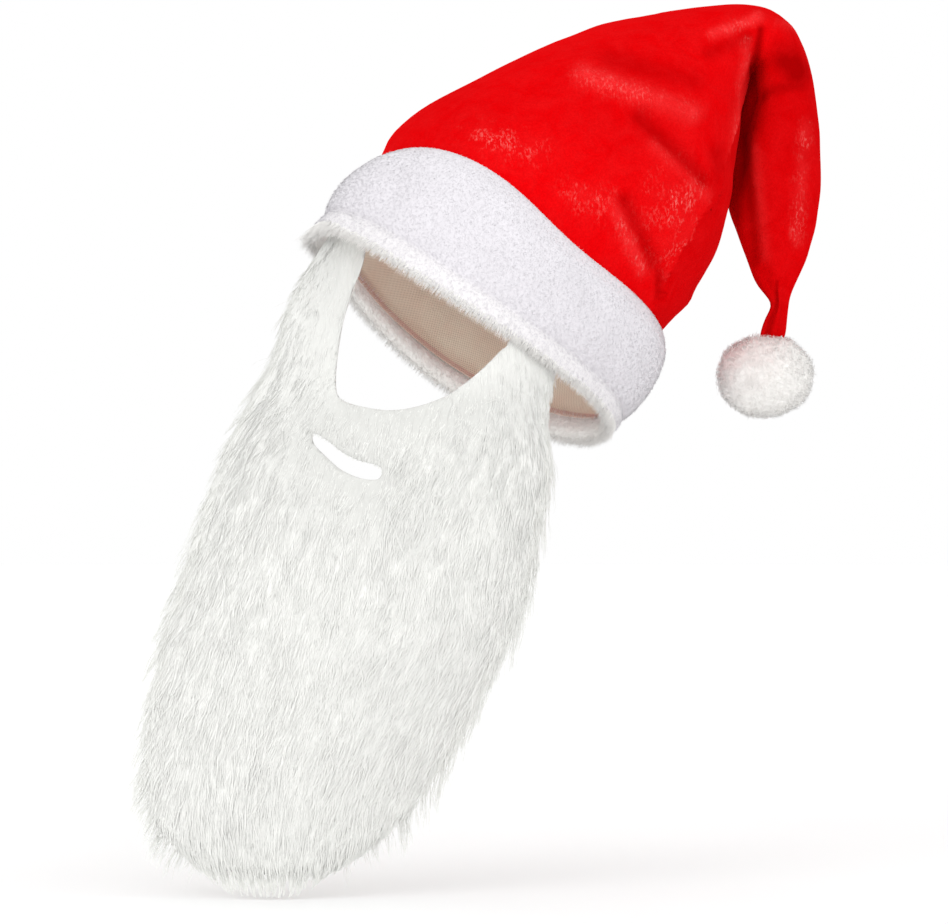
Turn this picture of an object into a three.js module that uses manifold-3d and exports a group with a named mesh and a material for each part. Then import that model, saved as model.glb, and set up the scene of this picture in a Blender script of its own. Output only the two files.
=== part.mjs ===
import * as THREE from "three";
import Module from "manifold-3d";
import { mergeVertices } from "three/addons/utils/BufferGeometryUtils.js";

// Santa hat with a long fur beard, sizes in millimetres.
// +Z is up, the wearer's face looks along -Y, +X is to the right of someone who looks at the face.
// The origin is the middle of the hat's opening, where the head goes in.
// The hat leans as it does on a tilted head; the tail and the beard hang straight down.

const wasm = await Module();
wasm.setup();

// Pose of the hat, degrees
const HAT_TURN = 14;
const HAT_LEAN_BACK = 9.5;
const HAT_LEAN_SIDE = 33.5;

// Oval of the opening, measured to the outside of the hem
const OVAL_SIDE_RADIUS = 91;
const OVAL_FRONT_RADIUS = 110;
const STEPS_ROUND = 32;

// Waves of the lower rim and of the seam between band and crown: dip and twist go
// twice round the head, tilt once
const RIM_WAVE = { dip: 4.5, twist: 1.4, tilt: 0 };
const SEAM_WAVE = { dip: -3.5, twist: 4.2, tilt: 4 };
const SEAM_HEIGHT = 58;

// Thickness of the velour
const CLOTH = 2;

// Section of the band, from its lower edge up the outside and down the inside.
// out is measured outwards from the oval, up from the lower edge.
const BAND_SECTION = [
  { out: -4.0, up: 0.0 },
  { out: 0.6, up: 2.4 },
  { out: 1.6, up: 6.4 },
  { out: 0.6, up: 9.8 },
  { out: 3.2, up: 14.0 },
  { out: 4.8, up: 25.0 },
  { out: 4.6, up: 37.0 },
  { out: 2.6, up: 48.0 },
  { out: -1.4, up: 55.0 },
  { out: -6.0, up: 57.8 },
  { out: -8.0, up: 56.0 },
  { out: -8.0, up: 49.5 },
  { out: -4.6, up: 44.5 },
  { out: -4.6, up: 12.0 },
  { out: -5.4, up: 10.0 },
  { out: -8.8, up: 8.8 },
  { out: -8.6, up: 2.4 },
];

// Section of the mesh lining, up its outer face
const LINING_CLOTH = 1;
const LINING_SECTION = [
  { out: -5.9, up: 10.5 },
  { out: -5.0, up: 12.6 },
  { out: -5.0, up: 44.0 },
];

// Lower edge of the crown, tucked into the top of the band
const CROWN_TUCK = [
  { out: -9.4, up: 46.5 },
  { out: -8.6, up: 58.0 },
];

// Sections of the crown above the band, then round the fold and down the hanging tail.
// x, y and z give the middle; roll turns the section from level to hanging, degrees.
const CROWN_SECTIONS = [
  { x: 58.7, y: 17, z: 73.8, halfWidth: 78, halfDepth: 95, roll: 36.0, lean: 10, turn: 11 },
  { x: 79.7, y: 21, z: 92.5, halfWidth: 72, halfDepth: 85, roll: 39.8, lean: 9, turn: 8 },
  { x: 97.2, y: 24, z: 109.1, halfWidth: 60.5, halfDepth: 72, roll: 45.3, lean: 7, turn: 5 },
  { x: 114.7, y: 26, z: 127, halfWidth: 45, halfDepth: 58, roll: 51.8, lean: 5, turn: 2 },
  { x: 132.6, y: 28, z: 142.9, halfWidth: 29, halfDepth: 47, roll: 63.2, lean: 3, turn: 0 },
  { x: 146.5, y: 30, z: 152.0, halfWidth: 19.4, halfDepth: 40, roll: 86.2, lean: 1, turn: 0 },
  { x: 157.6, y: 31, z: 149.6, halfWidth: 17.4, halfDepth: 36, roll: 119.6, lean: 0, turn: 0 },
  { x: 161.9, y: 33, z: 134.0, halfWidth: 19.5, halfDepth: 33, roll: 146.3, lean: 0, turn: 0 },
  { x: 161.6, y: 34, z: 105.0, halfWidth: 23.2, halfDepth: 29, roll: 165.1, lean: 0, turn: 0 },
  { x: 161.0, y: 32, z: 76.5, halfWidth: 24.2, halfDepth: 24, roll: 171.0, lean: 0, turn: 0 },
  { x: 162.4, y: 28, z: 51.4, halfWidth: 18.4, halfDepth: 18, roll: 175.9, lean: 0, turn: 0 },
  { x: 162.1, y: 24, z: 31.0, halfWidth: 10.6, halfDepth: 11, roll: 178.6, lean: 0, turn: 0 },
  { x: 163.1, y: 21, z: 18.0, halfWidth: 5.0, halfDepth: 5.5, roll: 180.0, lean: 0, turn: 0 },
  { x: 159.6, y: 20, z: 0.2, halfWidth: 6.8, halfDepth: 5.5, roll: 180.0, lean: 0, turn: 0 },
];
const RINGS_PER_SECTION = 2;
const SOLID_TIP_SECTIONS = 1.5;

// Folds along the crown's right side, where the tail lies against it.
// angle is measured from the front towards the right; first and last count sections from the lower edge.
const CROWN_SIDE_FOLDS = [
  { name: "edge in front of the tail", angle: 60, spread: 24, first: 2.2, last: 7, rise: 5 },
  { name: "hollow behind that edge", angle: 106, spread: 30, first: 2, last: 7, rise: -12 },
];

// Gathers of the tail towards the pompom
const TAIL_GATHERS = { count: 6, depth: 0.9, first: 11, full: 14 };

// Folds and dents on the front of the crown, each along a line; rise is outwards.
const CROWN_FOLDS = [
  { name: "crease beside the tail", fromX: 139, fromZ: 90, toX: 149, toZ: 150, width: 8, rise: -5 },
  { name: "long ridge under the top", fromX: 57, fromZ: 130, toX: 112, toZ: 118, width: 11, rise: 3 },
  { name: "hollow under the ridge", fromX: 88, fromZ: 108, toX: 103, toZ: 98, width: 11, rise: -3.5 },
  { name: "bulge over the band", fromX: 97, fromZ: 80, toX: 119, toZ: 46, width: 17, rise: 4.5 },
  { name: "slanting crease", fromX: 77, fromZ: 65, toX: 94, toZ: 34, width: 10, rise: -3.5 },
  { name: "hollow in the middle", fromX: 48, fromZ: 108, toX: 76, toZ: 80, width: 24, rise: -3 },
  { name: "crease across the tail", fromX: 147, fromZ: 119, toX: 168, toZ: 117, width: 8, rise: -4 },
  { name: "ridge down the tail", fromX: 151, fromZ: 108, toX: 158, toZ: 66, width: 8, rise: 3 },
];
const FOLD_EDGE = { start: 0.1, full: 0.55 };

// The beard's cloth hangs between three lines: left edge, middle and right edge.
// Its first rows follow the inside of the hem, the rows below are stated here.
const BEARD_CLOTH = 2.5;
const BEARD_HALF_ANGLE = 55;
const BEARD_TUCK = [
  { out: -10.2, up: 8 },
  { out: -10.2, up: -2 },
];
const BEARD_ROWS = [
  { leftX: -78, leftY: -55, leftZ: 16, midX: -16, midY: -112, midZ: -13, rightX: 43, rightY: -85, rightZ: -41 },
  { leftX: -91, leftY: -72, leftZ: -13, midX: -22, midY: -124, midZ: -40, rightX: 45, rightY: -95, rightZ: -65 },
  { leftX: -112, leftY: -88, leftZ: -56, midX: -34, midY: -130, midZ: -75, rightX: 40, rightY: -102, rightZ: -94 },
  { leftX: -130, leftY: -98, leftZ: -109, midX: -47, midY: -132, midZ: -120, rightX: 31, rightY: -107, rightZ: -132 },
  { leftX: -142, leftY: -104, leftZ: -152, midX: -60, midY: -131, midZ: -157, rightX: 16, rightY: -109, rightZ: -166 },
  { leftX: -148, leftY: -106, leftZ: -201, midX: -75, midY: -129, midZ: -200, rightX: -6, rightY: -110, rightZ: -204 },
  { leftX: -143, leftY: -108, leftZ: -232, midX: -86, midY: -127, midZ: -237, rightX: -30, rightY: -111, rightZ: -233 },
  { leftX: -125, leftY: -112, leftZ: -251, midX: -88, midY: -125, midZ: -257, rightX: -52, rightY: -114, rightZ: -250 },
];
const BEARD_STEPS_ACROSS = 12;
const BEARD_STEPS_PER_ROW = 2;

// Outline of the face opening and of the mouth slit, seen from the front
const FACE_OPENING = [
  { x: -44, z: 80 },
  { x: -45, z: 41 },
  { x: -51, z: 21 },
  { x: -55, z: 6 },
  { x: -57, z: -8 },
  { x: -58, z: -22 },
  { x: -56, z: -31 },
  { x: -46, z: -35 },
  { x: -32, z: -37 },
  { x: -18, z: -35 },
  { x: -3, z: -29 },
  { x: 10, z: -19 },
  { x: 20, z: -9 },
  { x: 27, z: 0 },
  { x: 40, z: 40 },
];
const MOUTH_SLIT = [
  { x: -68, z: -48 },
  { x: -61, z: -49 },
  { x: -51, z: -56 },
  { x: -37, z: -61 },
  { x: -35, z: -65 },
  { x: -38, z: -70 },
  { x: -46, z: -70 },
  { x: -60, z: -62 },
  { x: -69, z: -53 },
];
const OPENING_NEAR_Y = -170;
const OPENING_FAR_Y = -30;

// Fur locks on the beard, in rows; row counts beard rows from the top
const LOCK_ROWS = [
  { row: 1.3, count: 7, length: 0.9 },
  { row: 2.2, count: 7, length: 0.9 },
  { row: 3.1, count: 7, length: 1.1 },
  { row: 4.0, count: 7, length: 1.15 },
  { row: 4.9, count: 7, length: 1.3 },
  { row: 5.8, count: 7, length: 1.4 },
  { row: 6.7, count: 7, length: 1.6 },
  { row: 7.5, count: 7, length: 1.7 },
  { row: 8.3, count: 5, length: 1.25 },
];
const LOCK_WIDTH_SHARE = 0.58;
const LOCK_HEIGHT = 7.5;
const LOCK_ROOT_DEPTH = 1.2;
const LOCK_TIP_LIFT = 2;
const LOCK_SPREAD = 0.06;

// Pompom
const POMPOM = { x: 156.5, y: 20, z: -19.3, coreRadius: 19, radius: 25, tufts: 38, tuftHalfWidth: 8.4 };
const POMPOM_BARE_TOP = 0.72;

// Materials
const RED_VELOUR = { color: 0xd80a10, roughness: 0.8, metalness: 0 };
const WHITE_PLUSH = { color: 0xeeebf2, roughness: 0.95, metalness: 0 };
const MESH_CLOTH = { color: 0xcdbfb0, roughness: 0.9, metalness: 0 };
const WHITE_FUR = { color: 0xf3f2ee, roughness: 0.9, metalness: 0 };
const POMPOM_FUR = { color: 0xf6f3ee, roughness: 0.95, metalness: 0 };

const radians = THREE.MathUtils.degToRad;

function poseMatrix(turn, lean, roll) {
  const euler = new THREE.Euler(radians(-lean), radians(roll), radians(-turn), "YXZ");
  return new THREE.Matrix4().makeRotationFromEuler(euler);
}

const hatPose = poseMatrix(HAT_TURN, HAT_LEAN_BACK, HAT_LEAN_SIDE);

// Height that the uneven rim and seam add at an angle round the opening, 0 at the face
function rimWave(angle, up) {
  const share = THREE.MathUtils.clamp(up / SEAM_HEIGHT, 0, 1);
  const dip = THREE.MathUtils.lerp(RIM_WAVE.dip, SEAM_WAVE.dip, share);
  const twist = THREE.MathUtils.lerp(RIM_WAVE.twist, SEAM_WAVE.twist, share);
  const tilt = THREE.MathUtils.lerp(RIM_WAVE.tilt, SEAM_WAVE.tilt, share);
  return tilt * Math.sin(angle) - dip * Math.cos(2 * angle) - twist * Math.sin(2 * angle);
}

function ovalPoint(angle, out, up) {
  return new THREE.Vector3(
    (OVAL_SIDE_RADIUS + out) * Math.sin(angle),
    -(OVAL_FRONT_RADIUS + out) * Math.cos(angle),
    up + rimWave(angle, up),
  );
}

function ring(pointAt) {
  const points = [];
  for (let i = 0; i < STEPS_ROUND; i += 1) {
    points.push(pointAt((2 * Math.PI * i) / STEPS_ROUND));
  }
  return points;
}

function geometryFrom(points, triangles) {
  const geometry = new THREE.BufferGeometry();
  geometry.setFromPoints(points);
  geometry.setIndex(triangles);
  return geometry;
}

// Skin over rings of equal count: closed into a loop, or with both ends capped
function skinRings(rings, loop) {
  const count = rings[0].length;
  const points = rings.flat();
  const triangles = [];
  const bands = loop ? rings.length : rings.length - 1;
  for (let r = 0; r < bands; r += 1) {
    const low = r * count;
    const high = ((r + 1) % rings.length) * count;
    for (let i = 0; i < count; i += 1) {
      const next = (i + 1) % count;
      triangles.push(low + i, low + next, high + next);
      triangles.push(low + i, high + next, high + i);
    }
  }
  if (!loop) {
    const ends = [
      { ring: rings[0], start: 0, flip: true },
      { ring: rings[rings.length - 1], start: (rings.length - 1) * count, flip: false },
    ];
    for (const end of ends) {
      const middle = new THREE.Vector3();
      end.ring.forEach((p) => middle.addScaledVector(p, 1 / count));
      points.push(middle);
      for (let i = 0; i < count; i += 1) {
        const a = end.start + i;
        const b = end.start + ((i + 1) % count);
        triangles.push(points.length - 1, end.flip ? b : a, end.flip ? a : b);
      }
    }
  }
  return geometryFrom(points, triangles);
}

function toSolid(geometry) {
  const plain = geometry.clone();
  plain.deleteAttribute("normal");
  plain.deleteAttribute("uv");
  const merged = mergeVertices(plain, 1e-4);
  const mesh = new wasm.Mesh({
    numProp: 3,
    vertProperties: new Float32Array(merged.attributes.position.array),
    triVerts: new Uint32Array(merged.index.array),
  });
  mesh.merge();
  return new wasm.Manifold(mesh);
}

function fromSolid(solid) {
  const mesh = solid.getMesh();
  const geometry = new THREE.BufferGeometry();
  geometry.setAttribute("position", new THREE.BufferAttribute(mesh.vertProperties, 3));
  geometry.setIndex(new THREE.BufferAttribute(mesh.triVerts, 1));
  return geometry;
}

function largestBody(solid) {
  const bodies = solid.decompose();
  bodies.sort((a, b) => b.volume() - a.volume());
  return bodies[0];
}

function piece(name, geometry, look) {
  geometry.computeVertexNormals();
  const mesh = new THREE.Mesh(geometry, new THREE.MeshStandardMaterial(look));
  mesh.name = name;
  return mesh;
}

// Band and lining are rings round the oval, in the hat's own upright frame
function buildBand() {
  const rings = BAND_SECTION.map((s) => ring((angle) => ovalPoint(angle, s.out, s.up)));
  return piece("band", skinRings(rings, true), WHITE_PLUSH);
}

function buildLining() {
  const outer = LINING_SECTION.map((s) => ring((angle) => ovalPoint(angle, s.out, s.up)));
  const inner = LINING_SECTION.map((s) => ring((angle) => ovalPoint(angle, s.out - LINING_CLOTH, s.up)));
  return piece("lining", skinRings(outer.concat(inner.reverse()), true), MESH_CLOTH);
}

// Crown: sections joined by smooth curves for their middle, side and front directions
function crownCurves() {
  const middles = [];
  const sides = [];
  const fronts = [];
  for (const tuck of CROWN_TUCK) {
    middles.push(new THREE.Vector3(0, 0, tuck.up).applyMatrix4(hatPose));
    sides.push(new THREE.Vector3(OVAL_SIDE_RADIUS + tuck.out, 0, 0).applyMatrix4(hatPose));
    fronts.push(new THREE.Vector3(0, -OVAL_FRONT_RADIUS - tuck.out, 0).applyMatrix4(hatPose));
  }
  for (const section of CROWN_SECTIONS) {
    const pose = poseMatrix(section.turn, section.lean, section.roll);
    middles.push(new THREE.Vector3(section.x, section.y, section.z));
    sides.push(new THREE.Vector3(section.halfWidth, 0, 0).applyMatrix4(pose));
    fronts.push(new THREE.Vector3(0, -section.halfDepth, 0).applyMatrix4(pose));
  }
  return [middles, sides, fronts].map((list) => new THREE.CatmullRomCurve3(list, false, "catmullrom", 0.5));
}

function foldRise(point) {
  let rise = 0;
  for (const fold of CROWN_FOLDS) {
    const alongX = fold.toX - fold.fromX;
    const alongZ = fold.toZ - fold.fromZ;
    const raw = (point.x - fold.fromX) * alongX + (point.z - fold.fromZ) * alongZ;
    const share = THREE.MathUtils.clamp(raw / (alongX * alongX + alongZ * alongZ), 0, 1);
    const awayX = point.x - fold.fromX - share * alongX;
    const awayZ = point.z - fold.fromZ - share * alongZ;
    const away = Math.hypot(awayX, awayZ) / fold.width;
    rise += fold.rise * Math.exp(-away * away);
  }
  return rise;
}

// Rise of the folds that run along the crown's side, at a section number
function sideFoldRise(angle, section) {
  let rise = 0;
  for (const fold of CROWN_SIDE_FOLDS) {
    const share = THREE.MathUtils.clamp((section - fold.first) / (fold.last - fold.first), 0, 1);
    const swell = Math.sin(Math.PI * share) ** 2;
    const away = (THREE.MathUtils.radToDeg(angle) - fold.angle) / fold.spread;
    rise += fold.rise * swell * Math.exp(-away * away);
  }
  return rise;
}

function gatherRise(angle, section) {
  const share = THREE.MathUtils.smoothstep(section, TAIL_GATHERS.first, TAIL_GATHERS.full);
  return TAIL_GATHERS.depth * share * Math.cos(TAIL_GATHERS.count * angle);
}

function buildCrown() {
  const [middle, side, front] = crownCurves();
  const lastSection = CROWN_TUCK.length + CROWN_SECTIONS.length - 1;
  const rings = lastSection * RINGS_PER_SECTION;
  const hatUp = new THREE.Vector3(0, 0, 1).applyMatrix4(hatPose);
  const seam = CROWN_TUCK.length - 1;
  const outer = [];
  for (let r = 0; r <= rings; r += 1) {
    const section = r / RINGS_PER_SECTION;
    const c = middle.getPoint(r / rings);
    const s = side.getPoint(r / rings);
    const f = front.getPoint(r / rings);
    const waveShare = 1 - THREE.MathUtils.smoothstep(section, seam, seam + 3);
    const foldShare = THREE.MathUtils.smoothstep(section, seam, seam + 1);
    const up = THREE.MathUtils.lerp(CROWN_TUCK[0].up, CROWN_TUCK[seam].up, Math.min(section / seam, 1));
    outer.push(
      ring((angle) => {
        const outwards = s.clone().multiplyScalar(Math.sin(angle));
        outwards.addScaledVector(f, Math.cos(angle));
        const point = c.clone().add(outwards);
        point.addScaledVector(hatUp, waveShare * rimWave(angle, up));
        const facing = THREE.MathUtils.smoothstep(Math.cos(angle), FOLD_EDGE.start, FOLD_EDGE.full);
        let rise = facing * foldShare * foldRise(point);
        rise += sideFoldRise(angle, section) + gatherRise(angle, section);
        return point.addScaledVector(outwards.normalize(), rise);
      }),
    );
  }
  const lastHollow = Math.round(rings - SOLID_TIP_SECTIONS * RINGS_PER_SECTION);
  const inner = [];
  for (let r = 0; r <= lastHollow; r += 1) {
    inner.push(insideOf(outer, r, CLOTH));
  }
  return piece("crown", skinRings(inner.reverse().concat(outer), false), RED_VELOUR);
}

// A ring moved inwards by the cloth's thickness, square to the skin
function insideOf(rings, r, thickness) {
  const below = rings[Math.max(r - 1, 0)];
  const above = rings[Math.min(r + 1, rings.length - 1)];
  const here = rings[r];
  return here.map((point, i) => {
    const next = here[(i + 1) % here.length];
    const last = here[(i + here.length - 1) % here.length];
    const round = next.clone().sub(last);
    const up = above[i].clone().sub(below[i]);
    const normal = round.cross(up).normalize();
    return point.clone().addScaledVector(normal, -thickness);
  });
}

// Beard: cloth spanned by arcs between its left edge, middle and right edge
function beardCurves() {
  const lines = { left: [], mid: [], right: [] };
  const angles = { left: -BEARD_HALF_ANGLE, mid: 0, right: BEARD_HALF_ANGLE };
  for (const tuck of BEARD_TUCK) {
    for (const key of Object.keys(lines)) {
      lines[key].push(ovalPoint(radians(angles[key]), tuck.out, tuck.up).applyMatrix4(hatPose));
    }
  }
  for (const row of BEARD_ROWS) {
    lines.left.push(new THREE.Vector3(row.leftX, row.leftY, row.leftZ));
    lines.mid.push(new THREE.Vector3(row.midX, row.midY, row.midZ));
    lines.right.push(new THREE.Vector3(row.rightX, row.rightY, row.rightZ));
  }
  const curves = {};
  for (const key of Object.keys(lines)) {
    curves[key] = new THREE.CatmullRomCurve3(lines[key], false, "catmullrom", 0.5);
  }
  return curves;
}

const beardLines = beardCurves();
const BEARD_LAST_ROW = BEARD_TUCK.length + BEARD_ROWS.length - 1;

// Point on a guide line at a row number, carried straight on below the last row
function linePoint(line, row) {
  if (row <= BEARD_LAST_ROW) {
    return line.getPoint(Math.max(row, 0) / BEARD_LAST_ROW);
  }
  const end = line.getPoint(1);
  const before = line.getPoint(1 - 0.02 / BEARD_LAST_ROW);
  return end.clone().addScaledVector(end.clone().sub(before), (row - BEARD_LAST_ROW) / 0.02);
}

// across runs from -1 at the left edge to 1 at the right edge
function beardPoint(across, row) {
  const left = linePoint(beardLines.left, row);
  const mid = linePoint(beardLines.mid, row);
  const right = linePoint(beardLines.right, row);
  const half = radians(BEARD_HALF_ANGLE);
  const chordMiddle = left.clone().add(right).multiplyScalar(0.5);
  const sideways = right.sub(left).multiplyScalar(0.5 / Math.sin(half));
  const forwards = mid.clone().sub(chordMiddle).multiplyScalar(1 / (1 - Math.cos(half)));
  const angle = across * half;
  const point = mid.clone().addScaledVector(sideways, Math.sin(angle));
  return point.addScaledVector(forwards, Math.cos(angle) - 1);
}

function beardNormal(across, row) {
  const step = 0.01;
  const over = beardPoint(across + step, row).sub(beardPoint(across - step, row));
  const down = beardPoint(across, row + step).sub(beardPoint(across, Math.max(row - step, 0)));
  return down.cross(over).normalize();
}

function beardCloth() {
  const rows = BEARD_LAST_ROW * BEARD_STEPS_PER_ROW;
  const rings = [];
  for (let r = 0; r <= rows; r += 1) {
    const row = r / BEARD_STEPS_PER_ROW;
    const face = [];
    const back = [];
    for (let i = 0; i <= BEARD_STEPS_ACROSS; i += 1) {
      const across = (2 * i) / BEARD_STEPS_ACROSS - 1;
      const point = beardPoint(across, row);
      face.push(point);
      back.push(point.clone().addScaledVector(beardNormal(across, row), -BEARD_CLOTH));
    }
    rings.push(face.concat(back.reverse()));
  }
  return toSolid(skinStrip(rings));
}

// Skin over flat rings whose second half runs back behind the first
function skinStrip(rings) {
  const count = rings[0].length;
  const points = rings.flat();
  const triangles = [];
  for (let r = 0; r < rings.length - 1; r += 1) {
    for (let i = 0; i < count; i += 1) {
      const a = r * count + i;
      const b = r * count + ((i + 1) % count);
      triangles.push(a, a + count, b + count);
      triangles.push(a, b + count, b);
    }
  }
  const last = (rings.length - 1) * count;
  for (let i = 0; i < count / 2 - 1; i += 1) {
    const back = count - 1 - i;
    triangles.push(i, i + 1, back - 1, i, back - 1, back);
    triangles.push(last + i, last + back - 1, last + i + 1, last + i, last + back, last + back - 1);
  }
  return geometryFrom(points, triangles);
}

// One lock: ridge-shaped rings rooted in the cloth, ending in a point
function lock(across, row, length, halfWidth, drift) {
  const stations = [
    { along: 0, width: 0.5, height: 0.15 },
    { along: 0.35, width: 1, height: 0.85 },
    { along: 0.7, width: 0.75, height: 1 },
  ];
  const rings = stations.map((s) => {
    const at = across + drift * s.along * s.along;
    const here = row + length * s.along;
    const normal = beardNormal(at, here);
    const point = beardPoint(at, here);
    const over = beardPoint(at + 0.02, here).sub(beardPoint(at - 0.02, here)).normalize();
    const wide = halfWidth * s.width;
    const flank = LOCK_HEIGHT * s.height * 0.3;
    return [
      point.clone().addScaledVector(over, -wide).addScaledVector(normal, flank),
      point.clone().addScaledVector(normal, LOCK_HEIGHT * s.height),
      point.clone().addScaledVector(over, wide).addScaledVector(normal, flank),
      point.clone().addScaledVector(normal, -LOCK_ROOT_DEPTH),
    ];
  });
  const tipAcross = across + drift;
  const tipRow = row + length;
  const tip = beardPoint(tipAcross, tipRow).addScaledVector(beardNormal(tipAcross, tipRow), LOCK_TIP_LIFT);
  const points = rings.flat();
  const triangles = [0, 1, 2, 0, 2, 3];
  for (let r = 0; r < rings.length - 1; r += 1) {
    for (let i = 0; i < 4; i += 1) {
      const a = r * 4 + i;
      const b = r * 4 + ((i + 1) % 4);
      triangles.push(a, a + 4, b + 4, a, b + 4, b);
    }
  }
  const last = (rings.length - 1) * 4;
  points.push(tip);
  for (let i = 0; i < 4; i += 1) {
    triangles.push(last + i, points.length - 1, last + ((i + 1) % 4));
  }
  return toSolid(geometryFrom(points, triangles));
}

function furLocks() {
  const locks = [];
  LOCK_ROWS.forEach((line, index) => {
    for (let i = 0; i < line.count; i += 1) {
      const stagger = index % 2 === 0 ? 0.5 : 0.3;
      const across = ((i + stagger) / (line.count - 0.2)) * 2 - 1;
      const wave = Math.sin(i * 2.4 + index * 1.7);
      const width = beardPoint(1, line.row).distanceTo(beardPoint(-1, line.row)) / line.count;
      const drift = LOCK_SPREAD * (across + 0.8 * wave);
      const length = line.length * (1 + 0.12 * wave);
      locks.push(lock(across, line.row, length, width * LOCK_WIDTH_SHARE, drift));
    }
  });
  return locks;
}

// Solid that cuts an outline through the cloth from front to back
function cutThrough(outline) {
  const shape = new THREE.Shape(outline.map((p) => new THREE.Vector2(p.x, p.z)));
  const depth = OPENING_FAR_Y - OPENING_NEAR_Y;
  const cutter = new THREE.ExtrudeGeometry(shape, { depth, bevelEnabled: false, curveSegments: 1 });
  cutter.rotateX(Math.PI / 2);
  cutter.translate(0, OPENING_FAR_Y, 0);
  return toSolid(cutter);
}

function buildBeard() {
  let solid = beardCloth();
  for (const one of furLocks()) {
    solid = solid.add(one);
  }
  solid = solid.subtract(cutThrough(FACE_OPENING)).subtract(cutThrough(MOUTH_SLIT));
  return piece("beard", fromSolid(largestBody(solid)), WHITE_FUR);
}

// Pompom: a core with pointed tufts all round, bare where the tail is sewn on
function buildPompom() {
  let solid = toSolid(new THREE.IcosahedronGeometry(POMPOM.coreRadius, 2));
  const golden = Math.PI * (3 - Math.sqrt(5));
  const up = new THREE.Vector3(0, 1, 0);
  for (let i = 0; i < POMPOM.tufts; i += 1) {
    const height = 1 - (2 * i + 1) / POMPOM.tufts;
    if (height > POMPOM_BARE_TOP) {
      continue;
    }
    const flat = Math.sqrt(1 - height * height);
    const direction = new THREE.Vector3(flat * Math.cos(golden * i), flat * Math.sin(golden * i), height);
    const inside = POMPOM.coreRadius * 0.75;
    const tuft = new THREE.ConeGeometry(POMPOM.tuftHalfWidth, POMPOM.radius - inside, 4);
    tuft.applyQuaternion(new THREE.Quaternion().setFromUnitVectors(up, direction));
    const centre = direction.multiplyScalar((POMPOM.radius + inside) / 2);
    tuft.translate(centre.x, centre.y, centre.z);
    solid = solid.add(toSolid(tuft));
  }
  const mesh = piece("pompom", fromSolid(largestBody(solid)), POMPOM_FUR);
  mesh.position.set(POMPOM.x, POMPOM.y, POMPOM.z);
  return mesh;
}

const part = new THREE.Group();
part.name = "santa_hat_with_beard";

const hat = new THREE.Group();
hat.name = "hat_ring";
hat.rotation.set(radians(-HAT_LEAN_BACK), radians(HAT_LEAN_SIDE), radians(-HAT_TURN), "YXZ");
hat.add(buildBand(), buildLining());
part.add(hat, buildCrown(), buildBeard(), buildPompom());

export default part;
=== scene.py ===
import math

import bpy
import numpy as np
from bpy.props import FloatProperty, FloatVectorProperty, IntProperty, PointerProperty
from mathutils import Euler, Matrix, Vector, noise
from mathutils.kdtree import KDTree


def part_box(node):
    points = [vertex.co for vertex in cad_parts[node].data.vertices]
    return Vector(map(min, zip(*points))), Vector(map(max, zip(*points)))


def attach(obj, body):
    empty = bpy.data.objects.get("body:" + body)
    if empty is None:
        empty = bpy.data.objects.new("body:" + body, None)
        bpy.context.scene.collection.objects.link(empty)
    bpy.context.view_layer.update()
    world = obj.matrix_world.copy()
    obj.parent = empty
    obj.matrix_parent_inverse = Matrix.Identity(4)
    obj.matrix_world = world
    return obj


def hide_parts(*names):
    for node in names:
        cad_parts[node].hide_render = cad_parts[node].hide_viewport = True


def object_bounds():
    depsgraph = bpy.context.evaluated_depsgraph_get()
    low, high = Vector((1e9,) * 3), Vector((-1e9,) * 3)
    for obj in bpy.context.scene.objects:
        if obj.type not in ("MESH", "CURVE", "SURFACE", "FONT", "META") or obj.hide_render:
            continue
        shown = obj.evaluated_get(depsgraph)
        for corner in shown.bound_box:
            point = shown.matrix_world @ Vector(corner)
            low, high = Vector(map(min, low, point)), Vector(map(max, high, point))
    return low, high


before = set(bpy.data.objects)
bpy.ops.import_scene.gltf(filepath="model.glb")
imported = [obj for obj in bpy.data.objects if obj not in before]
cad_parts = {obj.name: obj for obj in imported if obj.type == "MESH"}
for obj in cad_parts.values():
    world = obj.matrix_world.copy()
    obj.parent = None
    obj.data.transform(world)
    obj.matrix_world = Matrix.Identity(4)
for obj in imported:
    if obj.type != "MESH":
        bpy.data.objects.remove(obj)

bl_info = {
    "name": "Santa hat with beard",
    "version": (1, 0, 0),
    "blender": (4, 5, 0),
    "location": "3D View > Sidebar > Santa hat",
    "description": "Dresses the hat's solids in velour, plush and long pile",
    "category": "Object",
}

SOLID_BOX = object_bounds()
MM = 0.001
FULL_TURN = 2 * math.pi
ANY = (-math.inf, math.inf)

# Stage, metres
CAMERA = {"sensor": 36.0, "lens": 150.4, "far": 50.0, "place": (0.00808, -2.0, -0.06161)}
FLOOR = {"radius": 6.0, "sides": 96, "drop": 0.8 * MM}
FLOOR_COLOURS = {"dull": (0.965, 0.965, 0.965), "pale": (0.985, 0.985, 0.985)}
SOFT_KEY = {
    "place": (-1.0, -1.0, 0.7), "aim": (0.0, 0.0, 0.0), "choices": {"energy": 0.5, "angle": math.radians(40)}}
FRONT_FILL = {
    "place": (0.4, -1.7, -0.2), "aim": (0.0, 0.0, -0.05), "choices": {"energy": 9.0, "size": 1.2}}
STUDIO_WHITE = (1.0, 1.0, 1.0, 1.0)

# Merging of a solid's loose triangles into quads, and how often the quads are split to soften them
MERGE_GAP = 0.02 * MM
QUAD_ANGLE = math.radians(60)
SOFT_LEVELS = 2

# Starts of the random draws, one for each piece with pile
SEEDS = {"band": 11, "beard": 23, "pompom": 37}

# Pose of the hat on its solids, degrees: lean back, lean to the side, turn
HAT_LEAN = (-9.5, 33.5, -14.0)

# Oval of the hat's opening and the waves of its rim and of the seam above, millimetres
OVAL_SIDE = 91.0
OVAL_FRONT = 110.0
SEAM_HEIGHT = 58.0
RIM_WAVE = {"dip": 4.5, "twist": 1.4, "tilt": 0.0}
SEAM_WAVE = {"dip": -3.5, "twist": 4.2, "tilt": 4.0}

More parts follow.
